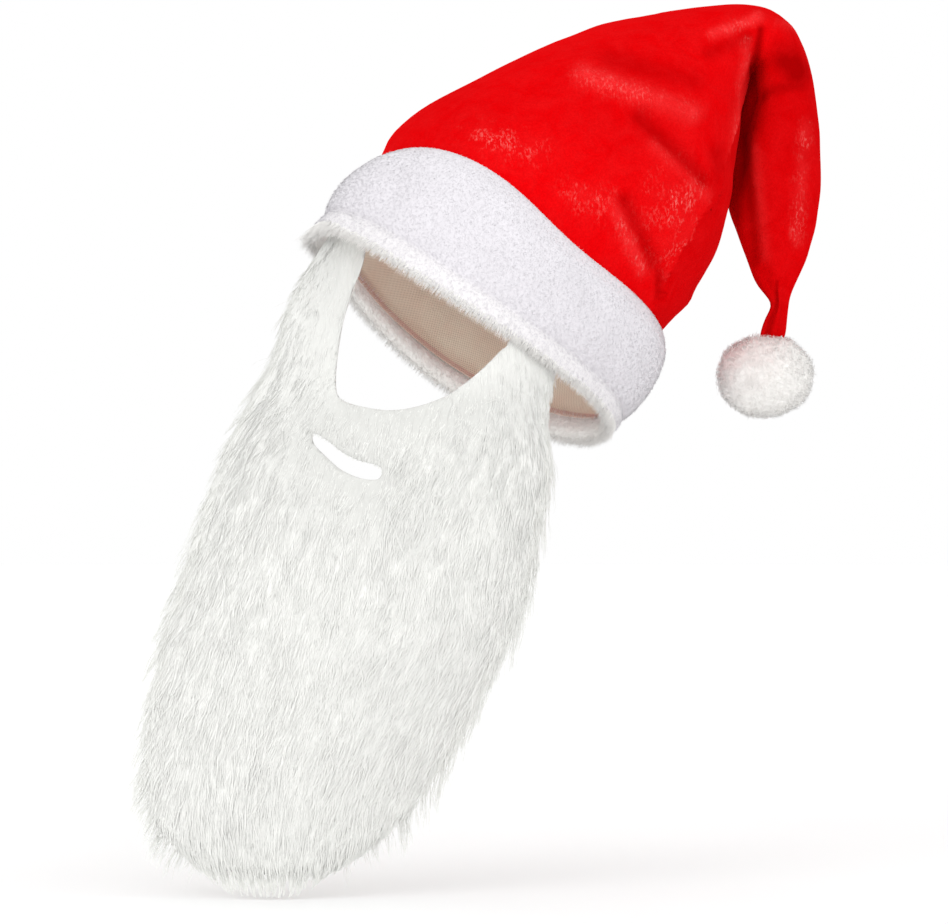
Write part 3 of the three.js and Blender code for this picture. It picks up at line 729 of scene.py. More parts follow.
def inside_outline(points, outline):
    """True where a point lies inside an outline seen from the front."""
    x, z = points[..., 0] / MM, points[..., 2] / MM
    inside = np.zeros(x.shape, dtype=bool)
    for (x0, z0), (x1, z1) in outline_edges(outline):
        if z0 != z1:
            inside ^= ((z0 > z) != (z1 > z)) & (x < (x1 - x0) * (z - z0) / (z1 - z0) + x0)
    return inside


def way_to_outline(points, flow, outline):
    """Distance from each point along its flow to an outline seen from the front, large where it isn't met."""
    x, z = points[:, 0] / MM, points[:, 2] / MM
    dx, dz = flow[:, 0], flow[:, 2]
    way = np.full(len(points), FAR_AWAY)
    for (x0, z0), (x1, z1) in outline_edges(outline):
        ex, ez = x1 - x0, z1 - z0
        cross = dx * ez - dz * ex
        cross = np.where(np.abs(cross) < 1e-9, 1e-9, cross)
        far = ((x0 - x) * ez - (z0 - z) * ex) / cross
        share = ((x0 - x) * dz - (z0 - z) * dx) / cross
        met = (far > 0) & (share >= 0) & (share <= 1)
        way = np.where(met & (far < way), far, way)
    return way * MM


def smooth_outline(outline, steps=4):
    """A rounded outline through the given points."""
    padded = np.array(outline[-1:] + outline + outline[:2], dtype=float)
    return curve_points(padded, 1 + np.arange(len(outline) * steps) / steps)


def beard_guides():
    guides = {}
    for key, angle in BEARD_TUCK_ANGLES.items():
        tuck = [hem_point(math.radians(angle), t["out"], t["up"]) for t in BEARD_TUCK]
        guides[key] = np.array(tuck + [np.array(row[key], dtype=float) for row in BEARD_ROWS]) * MM
    return guides


def beard_point(guides, across, row):
    """A point of the beard's cloth; across runs from -1 at the left edge to 1 at the right edge."""
    left, mid, right = (curve_points(guides[k], row) for k in ("left", "mid", "right"))
    sideways = (right - left) * 0.5 / math.sin(BEARD_HALF_ANGLE)
    forwards = (mid - (left + right) / 2) / (1 - math.cos(BEARD_HALF_ANGLE))
    angle = (across * BEARD_HALF_ANGLE)[..., None]
    return mid + sideways * np.sin(angle) + forwards * (np.cos(angle) - 1)


def beard_steps(guides, across, row, top=-math.inf):
    """How the cloth runs on by a small step to both sides: across and down, from a top row on."""
    over = beard_point(guides, across + BEARD_STEP, row) - beard_point(guides, across - BEARD_STEP, row)
    above = np.maximum(row - BEARD_STEP, top)
    return over, beard_point(guides, across, row + BEARD_STEP) - beard_point(guides, across, above)


def beard_frame(guides, across, row):
    """The cloth's outward direction, its way down and its way across, at points of the beard."""
    over, down = beard_steps(guides, across, row, top=0)
    return unit(np.cross(down, over)), unit(down), unit(over)


def undercoat_height(points, across, row):
    """Height of the short wool over the beard's cloth: lumpy, and thin towards the edges and openings."""
    beside = (1 - np.abs(across)) * UNDERCOAT["half_width"]
    below = (BEARD_LAST_ROW - row) * UNDERCOAT["row"]
    edge = np.minimum(beside, below) / UNDERCOAT["edge"]
    gap = gap_to_openings(points) / MM / UNDERCOAT["opening"]
    near = np.clip(np.minimum(gap, edge), 0, 1)
    lumps = np.array([
        sum(l["share"] * noise.noise((a * l["across"], r * l["row"], l["place"])) for l in UNDERCOAT_LUMPS)
        for a, r in zip(across, row)])
    return settings().beard_undercoat * np.sqrt(near) * (UNDERCOAT["even"] + UNDERCOAT["lumpy"] * lumps)


class NodeTree:
    """A material's nodes, added one by one."""

    def __init__(self, name):
        self.material = bpy.data.materials.new(name)
        self.material.use_nodes = True
        self.tree = self.material.node_tree
        self.tree.nodes.clear()
        self.surface = self.tree.nodes.new("ShaderNodeBsdfPrincipled")
        out = self.tree.nodes.new("ShaderNodeOutputMaterial")
        self.tree.links.new(self.surface.outputs[0], out.inputs["Surface"])

    def node(self, kind, **values):
        made = self.tree.nodes.new("ShaderNode" + kind)
        for key, value in values.items():
            setattr(made, key, value)
        return made

    def join(self, source, target):
        self.tree.links.new(source, target)

    def fill(self, socket, value):
        if isinstance(value, bpy.types.NodeSocket):
            self.join(value, socket)
        else:
            socket.default_value = value

    def place(self):
        return self.node("TexCoord").outputs["Object"]

    def map(self, name):
        return self.node("UVMap", uv_map=name).outputs[0]

    def attribute(self, name):
        return self.node("Attribute", attribute_name=name).outputs["Fac"]

    def split(self, where):
        made = self.node("SeparateXYZ")
        self.join(where, made.inputs[0])
        return made.outputs

    def noise(self, where, scale, detail=2.0, roughness=0.5, distortion=0.0):
        made = self.node("TexNoise")
        self.join(where, made.inputs["Vector"])
        for key, value in (
            ("Scale", scale), ("Detail", detail), ("Roughness", roughness), ("Distortion", distortion)):
            made.inputs[key].default_value = value
        return made.outputs["Fac"]

    def stretch(self, where, scale, turn=(0.0, 0.0, 0.0)):
        made = self.node("Mapping")
        made.inputs["Rotation"].default_value = turn
        made.inputs["Scale"].default_value = scale
        self.join(where, made.inputs["Vector"])
        return made.outputs[0]

    def spread(self, value, low, high, to_low=0.0, to_high=1.0):
        made = self.node("MapRange")
        self.join(value, made.inputs["Value"])
        for key, number in (("From Min", low), ("From Max", high), ("To Min", to_low), ("To Max", to_high)):
            made.inputs[key].default_value = number
        return made.outputs["Result"]

    def math(self, operation, a, b=0.0):
        made = self.node("Math", operation=operation)
        self.fill(made.inputs[0], a)
        self.fill(made.inputs[1], b)
        return made.outputs[0]

    def times(self, a, b):
        return self.math("MULTIPLY", a, b)

    def wave(self, value, pitch):
        return self.math("SINE", self.times(value, FULL_TURN / pitch))

    def mix(self, share, a, b):
        made = self.node("Mix", data_type="RGBA", blend_type="MIX")
        self.fill(made.inputs["Factor"], share)
        self.fill(made.inputs[6], a if isinstance(a, bpy.types.NodeSocket) else (*a, 1.0))
        self.fill(made.inputs[7], b if isinstance(b, bpy.types.NodeSocket) else (*b, 1.0))
        return made.outputs[2]

    def bump(self, height, strength, distance, under=None):
        made = self.node("Bump")
        made.inputs["Strength"].default_value = strength
        made.inputs["Distance"].default_value = distance
        self.join(height, made.inputs["Height"])
        if under:
            self.join(under, made.inputs["Normal"])
        return made.outputs[0]

    def set(self, **values):
        for key, value in values.items():
            self.fill(self.surface.inputs[key.replace("_", " ")], value)


def velour():
    """Short-napped red velour; attributes of the mesh say where painted highlight, painted shade and painted
    sheen on brushed nap go.
    """
    look = NodeTree("red_velour")
    s = settings()
    where = look.place()
    light, deep, brushed = (look.attribute("nap_painted_" + key) for key in NAP_PAINTED_LIGHT)
    broad = look.spread(look.noise(where, scale=13.0, detail=3.0, roughness=0.55), 0.38, 0.66)
    nap = look.spread(look.noise(where, scale=85.0, detail=4.0, roughness=0.6, distortion=0.8), 0.35, 0.7)
    fibre = look.noise(where, scale=950.0, roughness=0.6)
    colour = look.mix(look.spread(broad, 0, 1, 0.19, 0.0), s.velour_red, s.velour_deep_and_shade)
    # Painted sheen at random over the nap, painted highlight on ridges, painted shade in creases, hollows and
    # over the tail
    colour = look.mix(look.spread(nap, 0, 1, 0.0, 0.10), colour, s.velour_highlight)
    colour = look.mix(look.times(light, look.spread(nap, 0, 1, 0.45, 0.9)), colour, s.velour_highlight)
    colour = look.mix(look.times(deep, look.spread(nap, 0, 1, 0.85, 0.6)), colour, s.velour_deep_and_shade)
    strokes = look.stretch(where, scale=(1.9, 1.0, 0.8), turn=(0.0, math.radians(30), 0.0))
    bristle = look.noise(strokes, scale=420.0, detail=3.0, roughness=0.65, distortion=0.6)
    tufted = look.spread(look.noise(where, scale=95.0, detail=3.0, roughness=0.6), 0.42, 0.62)
    # Patches of brushed nap painted as a pinkish sheen
    patch = look.times(look.times(look.spread(bristle, 0.50, 0.68), tufted), look.times(brushed, 0.75))
    colour = look.mix(patch, colour, s.velour_brushed_sheen)
    colour = look.mix(look.spread(fibre, 0.35, 0.65, 0.26, 0.0), colour, s.velour_deep_and_shade)
    soft = look.bump(nap, strength=0.3, distance=0.8 * MM)
    look.set(Base_Color=colour, Roughness=0.75, Normal=look.bump(fibre, 0.35, 0.3 * MM, soft))
    look.set(Sheen_Weight=0.10, Sheen_Roughness=0.35, Sheen_Tint=(1.0, 0.05, 0.05, 1.0))
    look.set(Specular_IOR_Level=0.0)
    return look.material


def plush():
    """Cloth under the band's short plush."""
    look = NodeTree("white_plush_ground")
    s = settings()
    where = look.place()
    white = np.array(s.plush_white)
    mottle = look.spread(look.noise(where, scale=60.0, detail=3.0), 0.3, 0.7)
    tufts = look.noise(where, scale=330.0, detail=3.0, roughness=0.6, distortion=0.4)
    fibre = look.noise(where, scale=1100.0, roughness=0.6)
    soft = look.bump(tufts, strength=0.6, distance=1.2 * MM)
    colour = look.mix(look.attribute("hem"), look.mix(mottle, white, white * 1.06), s.hem_cream)
    look.set(Base_Color=colour, Roughness=0.95, Normal=look.bump(fibre, 0.5, 0.5 * MM, soft))
    look.set(Sheen_Weight=0.2, Sheen_Roughness=0.6)
    return look.material


def pile(name, tip, root, spread):
    """Strands of pile: their map holds each strand's shade across and the way from root to tip up it."""
    look = NodeTree(name)
    parts = look.split(look.map("OFBake"))
    colour = look.mix(look.spread(parts["Y"], 0.0, 0.75), root, tip)
    shade = look.spread(parts["X"], 0.0, 1.0, 0.0, spread)
    look.set(Base_Color=look.mix(shade, colour, np.array(root) * 0.75), Roughness=0.7)
    look.set(Sheen_Weight=0.25, Sheen_Roughness=0.5, Specular_IOR_Level=0.2)
    return look.material


def mesh_cloth():
    """Open mesh lining: fine holes in rows, with a pink line along its lower edge by the hem."""
    look = NodeTree("mesh_lining")
    beige = np.array(settings().lining_beige)
    parts = look.split(look.map("lining_rows"))
    across, up = (look.wave(parts[key], pitch) for key, pitch in LINING_PITCH.items())
    holes = look.spread(look.times(across, up), 0.05, 0.75)
    mottle = look.spread(look.noise(look.place(), scale=45.0, detail=3.0), 0.3, 0.7)
    colour = look.mix(mottle, beige * 0.98, np.minimum(beige * 1.14, 1.0))
    colour = look.mix(look.times(holes, 0.55), colour, beige * 0.5)
    # A pink line along the lining's lower edge, by the hem
    seam = look.spread(parts["Y"], LINING_PINK_LINE["from"], LINING_PINK_LINE["to"])
    colour = look.mix(look.times(seam, 0.5), colour, LINING_PINK_LINE["colour"])
    look.set(Base_Color=colour, Roughness=0.9, Normal=look.bump(holes, 0.6, -0.4 * MM))
    return look.material


def knit():
    """Knitted ground cloth of the beard's pile: fine ribs down the back."""
    look = NodeTree("beard_ground_cloth")
    white = np.array(settings().beard_white)
    parts = look.split(look.map("cloth_rows"))
    ribs = look.wave(parts["X"], pitch=1.6 * MM)
    loops = look.wave(parts["Y"], pitch=1.2 * MM)
    stitch = look.spread(look.math("ADD", ribs, look.times(loops, 0.5)), -1.5, 1.5)
    mottle = look.spread(look.noise(look.place(), scale=30.0, detail=3.0), 0.3, 0.7)
    colour = look.mix(stitch, white * 0.78, white * 0.93)
    colour = look.mix(look.times(mottle, 0.25), colour, white * 0.8)
    look.set(Base_Color=colour, Roughness=0.95, Normal=look.bump(stitch, 0.6, 0.4 * MM))
    return look.material


def undercoat():
    """Dense short wool at the foot of the beard's pile, combed down."""
    look = NodeTree("beard_undercoat")
    s = settings()
    place = look.map("cloth_rows")
    sway = look.node("TexNoise")
    sway.inputs["Scale"].default_value = 70.0
    look.join(place, sway.inputs["Vector"])
    bent = look.node("VectorMath", operation="MULTIPLY_ADD")
    bent.inputs[1].default_value = (6 * MM, 0.0, 0.0)
    look.join(sway.outputs["Color"], bent.inputs[0])
    look.join(place, bent.inputs[2])
    combed = look.stretch(bent.outputs[0], scale=(1.0, 0.07, 1.0))
    strands = look.spread(look.noise(combed, scale=1500.0, detail=3.0, roughness=0.65), 0.3, 0.7)
    locks = look.spread(look.noise(combed, scale=330.0), 0.3, 0.7)
    white, grey = 0.94 * np.array(s.beard_white), 0.94 * np.array(s.beard_root)
    colour = look.mix(strands, grey * 0.94, white)
    colour = look.mix(look.spread(locks, 0, 1, 0.25, 0.0), colour, grey * 0.92)
    # Painted shade on the short wool round the mouth
    colour = look.mix(look.times(look.attribute("cropped_shade"), 0.5), colour, white * 0.62)
    soft = look.bump(locks, strength=0.5, distance=1.0 * MM)
    look.set(Base_Color=colour, Roughness=0.9, Normal=look.bump(strands, 0.6, 0.35 * MM, soft))
    look.set(Sheen_Weight=0.15, Sheen_Roughness=0.5, Specular_IOR_Level=0.1)
    return look.material


def plush_core():
    """Dense middle of the pompom."""
    look = NodeTree("pompom_core")
    white = np.array(settings().pompom_white)
    mottle = look.spread(look.noise(look.place(), scale=300.0, detail=3.0), 0.3, 0.7)
    look.set(Base_Color=look.mix(mottle, white * 0.96, white * 0.99), Roughness=0.95)
    look.set(Normal=look.bump(mottle, strength=0.5, distance=0.6 * MM))
    return look.material


def pale_floor():
    """Plain pale floor with a faint grain."""
    look = NodeTree("pale_floor")
    grain = look.spread(look.noise(look.place(), scale=3.0), 0.3, 0.7)
    look.set(Base_Color=look.mix(grain, FLOOR_COLOURS["dull"], FLOOR_COLOURS["pale"]), Roughness=0.9)
    return look.material


class HAT_OT_stage(bpy.types.Operator):
    """Adds the camera, the lights and the pale floor"""
    bl_idname = "hat.stage"
    bl_label = "Stage"

    def execute(self, context):
        scene = context.scene
        scene.camera = self.camera()
        self.floor()
        self.light("soft_key", "SUN", **SOFT_KEY)
        self.light("front_fill", "AREA", **FRONT_FILL)
        world = bpy.data.worlds.new("studio")
        world.use_nodes = True
        background = world.node_tree.nodes["Background"]
        background.inputs["Color"].default_value = STUDIO_WHITE
        background.inputs["Strength"].default_value = 1.0
        scene.world = world
        scene.view_settings.view_transform = "Standard"
        scene.view_settings.look = "None"
        scene.view_settings.exposure = 0.0
        return {"FINISHED"}

    def camera(self):
        view = bpy.data.cameras.new("photo_view")
        view.sensor_width = CAMERA["sensor"]
        view.lens = CAMERA["lens"]
        view.clip_end = CAMERA["far"]
        camera = link(bpy.data.objects.new("photo_view", view))
        camera.location = CAMERA["place"]
        camera.rotation_euler = (math.radians(90), 0, 0)
        return camera

    def floor(self):
        deselect()
        bpy.ops.mesh.primitive_circle_add(
            vertices=FLOOR["sides"], radius=FLOOR["radius"], fill_type="NGON",
            location=(0, 0, SOLID_BOX[0][2] - FLOOR["drop"]))
        floor = bpy.context.active_object
        floor.name = "floor"
        bpy.ops.object.transform_apply(location=True, rotation=True, scale=True)
        floor.data.materials.append(pale_floor())

    def light(self, name, kind, place, aim, choices):
        lamp = bpy.data.lights.new(name, kind)
        for choice, value in choices.items():
            setattr(lamp, choice, value)
        light = link(bpy.data.objects.new(name, lamp))
        light.location = place
        light.rotation_euler = (Vector(aim) - light.location).to_track_quat("-Z", "Y").to_euler()


class HAT_OT_crown(bpy.types.Operator):
    """Makes the red velour crown with its tail"""
    bl_idname = "hat.crown"
    bl_label = "Crown"

    def execute(self, context):
        crown = start_from_solid("crown", "crown_velour")
        soften(crown)
        self.refine_front(crown)
        self.shape(crown)
        finish_piece(crown, velour(), "crown")
        return {"FINISHED"}

    def outward(self, points, normals):
        """The way out of the hollow at points, how far along the crown they are, and if they are outside."""
        last = len(CROWN_MIDDLE) - 1
        middle = curve_points(np.array(CROWN_MIDDLE) * MM, np.linspace(0, last, CROWN_STEPS))
        near = nearest(middle, points)
        side = np.sign(((points - middle[near]) * normals).sum(axis=1))
        return normals * side[:, None], near * last / (CROWN_STEPS - 1), side > 0

    def refine_front(self, crown):
        """Splits the faces of the crown's front, so that its folds come out fine."""
        mesh = crown.data
        middles = np.array([tuple(face.center) for face in mesh.polygons])
        normals = np.array([tuple(face.normal) for face in mesh.polygons])
        _, _, outer = self.outward(middles, normals)
        pick(crown)
        edit((bpy.ops.mesh.select_mode, {"type": "FACE"}), (bpy.ops.mesh.select_all, {"action": "DESELECT"}))
        mesh.polygons.foreach_set("select", outer & (normals[:, 1] < CROWN_FRONT))
        edit((bpy.ops.mesh.subdivide, {"number_cuts": 1, "smoothness": 1.0}))
        bpy.ops.object.shade_smooth()

    def shape(self, crown):
        """Folds, fills out and ripples the velour."""
        mesh = crown.data
        points = vertex_array(mesh)
        outward, along, _ = self.outward(points, normal_array(mesh))
        tail = np.clip((along - TAIL["starts"]) / TAIL["over"], 0, 1)
        rise = self.fold(mesh, points, outward, tail) + self.fullness(points, outward, tail)
        loose = np.clip((along - VELOUR_RIPPLE["starts"]) / VELOUR_RIPPLE["over"], 0, 1)
        rise += lumpy(points, VELOUR_RIPPLE) * VELOUR_RIPPLE["out"] * loose
        waist = bell(points[:, 2] / MM, TAIL_WAIST["height"], TAIL_WAIST["spread"]) * tail
        points[:, 0] += waist * ramp(points[:, 0] / MM, *TAIL_WAIST["side"]) * TAIL_WAIST["in"] * MM
        move_vertices(mesh, points + outward * (rise * MM)[:, None])

    def fold(self, mesh, points, outward, tail):
        """How far the folds rise at each point, millimetres; notes where highlight, shade and sheen are
        painted on the nap.
        """
        facing = np.clip((-outward[:, 1] - CROWN_FACING["from"]) / CROWN_FACING["over"], 0, 1)
        rise = np.zeros(len(points))
        nap = {key: np.zeros(len(points)) for key in NAP_PAINTED_LIGHT}
        for folds, share in ((VELOUR_FOLDS, 1 - tail), (TAIL_FOLDS, tail)):
            for fold in folds:
                here = near_fold(points, fold) * facing * share
                rise += here * fold["rise"]
                for key in NAP_PAINTED_LIGHT:
                    nap[key] = np.maximum(nap[key], here * fold.get(key, 0.0))
        # Painted shade over the whole tail
        nap["deep"] = np.maximum(nap["deep"], TAIL["deep"] * tail)
        for key, values in nap.items():
            keep_values(mesh, "nap_painted_" + key, values)
        return rise

    def fullness(self, points, outward, tail):
        """How much fuller the crown is at each point, millimetres."""
        local, angle = on_hat(points)
        full = round_about(angle, CROWN_FULL["angle"], CROWN_FULL["width"])
        full = full * bell(local[:, 2], CROWN_FULL["height"], CROWN_FULL["spread"])
        upper = ramp(outward @ np.array(CROWN_UPPER_LEFT["toward"]), *CROWN_UPPER_LEFT["facing"]) * (1 - tail)
        right = ramp(outward @ np.array(CROWN_RIGHT["toward"]), *CROWN_RIGHT["facing"])
        right = right * ramp(points[:, 2] / MM, *CROWN_RIGHT["height"])
        fuller = full * CROWN_FULL["out"] + upper * CROWN_UPPER_LEFT["out"] + right * CROWN_RIGHT["out"]
        away = np.linalg.norm(points / MM - np.array(CROWN_REAR_BUMP["place"]), axis=1)
        bump = bell(away, 0, CROWN_REAR_BUMP["spread"]) * CROWN_REAR_BUMP["out"]
        return ramp(local[:, 2], *CROWN_FREE) * fuller + bump


class HAT_OT_band(bpy.types.Operator):
    """Makes the white plush band and its short pile"""
    bl_idname = "hat.band"
    bl_label = "Band"

    def execute(self, context):
        band = start_from_solid("band", "band_plush")
        soften(band)
        self.puff(band)
        finish_piece(band, plush(), "band")
        rng = rng_for("band")
        fewer = 1
        self.plush_pile(band, rng, fewer)
        self.hem_pile(band, rng, fewer)
        return {"FINISHED"}

    def grows(self, points, normals, row):
        """Where a row of the pile grows: by height, angle round the hat and side of the band."""
        local, angle = on_hat(points)
        outer = ((normals @ hat_pose()) * radial(local)).sum(axis=1)
        here = between(over_rim(local, angle), row["height"])
        return here & between(np.degrees(angle), row["angle"]) & between(outer, row["outer"])

    def plush_pile(self, band, rng, fewer):
        """Short pile on the outside of the band, brushed down."""
        s = settings()
        count = s.band_strands // fewer
        roots, up = scatter(band, count, rng, lambda p, n: self.grows(p, n, BAND_PILE))
        stir = unit(rng.normal(size=(count, 3)))
        flow = unit(BAND_PILE["up"] * up + BAND_PILE["stir"] * stir - BAND_PILE["down"] * hat_pose()[:, 2])
        length = s.band_pile * rng.uniform(*BAND_PILE["long"], count)
        white = np.array(s.plush_white)
        look = pile("white_plush_pile", white * 1.03, white, 0.03)
        self.fuzz("band_pile", roots, flow, length, up, rng, look)

    def hem_pile(self, band, rng, fewer):
        """Pile of the hem: a fringe at its lip, fluff on its inner side and over the lining, and a tuft."""
        s = settings()
        aside, down = hat_pose()[:, 0], -hat_pose()[:, 2]
        grown = []
        for row in HEM_PILE:
            count = int(s.band_fringe * row["share"]) // fewer
            grown.append(scatter(band, count, rng, lambda p, n: self.grows(p, n, row)))
        roots, up = (np.concatenate(arrays) for arrays in zip(*grown))
        counts = [len(places) for places, _ in grown]
        each = {
            key: np.repeat([row[key] for row in HEM_PILE], counts)[:, None]
            for key in ("up", "down", "aside", "stir", "shine")}
        stir = unit(rng.normal(size=(len(roots), 3)))
        flow = unit(each["down"] * down + each["aside"] * aside + each["up"] * up + each["stir"] * stir)
        long = [rng.uniform(*row["long"], count) for row, count in zip(HEM_PILE, counts)]
        shading = up * each["shine"]
        local, angle = on_hat(grown[0][0])
        longer = LIP_LONGER["by"] * round_about(angle, LIP_LONGER["angle"], LIP_LONGER["width"])
        long[0] = long[0] * (1 + longer)
        shine = unit(radial(local) @ hat_pose().T + np.array(LIP_SHINE["toward"]))
        shading[:counts[0]] = shine * ramp(np.cos(angle), *LIP_SHINE["front"])[:, None]
        cream = np.array(s.hem_cream)
        self.fuzz(
            "band_hem_pile", roots, flow, s.band_fringe_length * np.concatenate(long), shading, rng,
            pile("hem_pile", cream, cream * 0.97, 0.04))

    def fuzz(self, name, roots, flow, length, shading, rng, look):
        """Straight strands from the band's plush, each turned at random."""
        roots = roots - flow * FUZZ["root"]
        lines = np.stack((roots, roots + flow * length[:, None]), axis=1)
        side = unit(np.cross(flow, rng.normal(size=flow.shape)))
        width = rng.uniform(FUZZ["thin"], FUZZ["thick"], len(roots))
        made = strand_piece(name, lines, side, width, (1.0,), rng.random(len(roots)), shading)
        finish_piece(made, look)

    def puff(self, band):
        """Soft unevenness of the band, the run of its seam, its folds and its turned hem."""
        mesh = band.data
        points, normals = vertex_array(mesh), normal_array(mesh)
        facing = normals @ hat_pose()
        local, angle = on_hat(points)
        height = over_rim(local, angle)
        outside = (facing[:, :2] * local[:, :2]).sum(axis=1) > 0
        lumps = lumpy(points, BAND_LUMPS) * BAND_LUMPS["out"] - BAND_LUMPS["sink"]
        points = points + normals * (ramp(height, *BAND_LUMPS["height"]) * outside * lumps * MM)[:, None]

        # The seam is pulled in, and runs lower or higher round the hat
        local, angle = on_hat(points)
        local -= radial(local) * (ramp(height, *SEAM_PULL["height"]) * SEAM_PULL["in"])[:, None]
        upper, hem = ramp(local[:, 2], *SEAM_REACH), ramp(local[:, 2], *HEM_NUB["height"])
        for seam in SEAM_RUN:
            here = round_about(angle, seam["angle"], seam["width"]) * upper
            local[:, 2] += here * seam["up"]
            local[:, :2] *= 1 + (here * seam["out"] * PER_CENT)[:, None]

        # The stitch line, the lip under it, the flat left side and the folds
        away = radial(local)
        inner = (facing * away).sum(axis=1) < 0
        height = over_rim(local, angle)
        out = (np.hypot(local[:, 0] / OVAL_SIDE, local[:, 1] / OVAL_FRONT) - 1) * OVAL_SIDE
        stitch = bell(height, HEM_STITCH["height"], HEM_STITCH["width"]) * ~inner
        local -= away * (stitch * HEM_STITCH["in"])[:, None]
        local[:, 2] -= ramp(out, *HEM_LIP["out"]) * ramp(height, *HEM_LIP["height"]) * HEM_LIP["down"]
        flat = round_about(angle, BAND_FLAT["angle"], BAND_FLAT["width"]) * ~inner
        flat = flat * bell(height, BAND_FLAT["height"], BAND_FLAT["spread"])
        local -= away * (flat * BAND_FLAT["in"])[:, None]
        front = ~inner * np.clip(-(normals[:, 1] + BAND_FACING["from"]) / BAND_FACING["over"], 0, 1)
        for fold in BAND_FOLDS:
            local += away * (near_fold(points, fold) * front * fold["rise"])[:, None]

        # The hem's tint, its turned-up inner edge and its puffy left end
        tint = np.maximum(HEM_TINT["share"] * ramp(height, *HEM_TINT["height"]), inner)
        keep_values(mesh, "hem", tint.astype(float))
        turned = ramp(local[:, 2], *HEM_TURN_UP["rises"]) * ramp(local[:, 2], *HEM_TURN_UP["ends"])
        local[:, 2] += inner * turned * HEM_TURN_UP["up"]
        nub = round_about(angle, HEM_NUB["angle"], HEM_NUB["width"]) * hem
        local[:, :2] *= 1 + (nub * HEM_NUB["out"] * PER_CENT)[:, None]
        move_vertices(mesh, off_hat(local))


class HAT_OT_lining(bpy.types.Operator):
    """Makes the mesh lining inside the band"""
    bl_idname = "hat.lining"
    bl_label = "Lining"

    def execute(self, context):
        lining = start_from_solid("lining", "lining_mesh")
        soften(lining)
        mesh = lining.data
        local, angle = on_hat(vertex_array(mesh))
        height = over_rim(local, angle)
        self.lay_rows(mesh, local, height)
        low = ramp(height, *LINING_TUCK["height"])
        local -= radial(local) * (low * LINING_TUCK["in"])[:, None]
        local[:, 2] -= low * LINING_TUCK["down"]
        move_vertices(mesh, off_hat(local))
        finish_piece(lining, mesh_cloth(), "lining")
        return {"FINISHED"}

    def lay_rows(self, mesh, local, height):
        """A map of the lining: the way round it from the back, and the height, metres."""
        loops = whole_numbers(mesh.loops, "vertex_index")
        turn = np.arctan2(local[:, 0] / OVAL_SIDE, local[:, 1] / OVAL_FRONT)[loops]
        firsts = turn[whole_numbers(mesh.polygons, "loop_start")]
        first = np.repeat(firsts, whole_numbers(mesh.polygons, "loop_total"))
        turn = turn + FULL_TURN * np.round((first - turn) / FULL_TURN)
        radius = (OVAL_SIDE + OVAL_FRONT) / 2
        lay_map(mesh, "lining_rows", np.stack((turn * radius * MM, height[loops] * MM), axis=1))


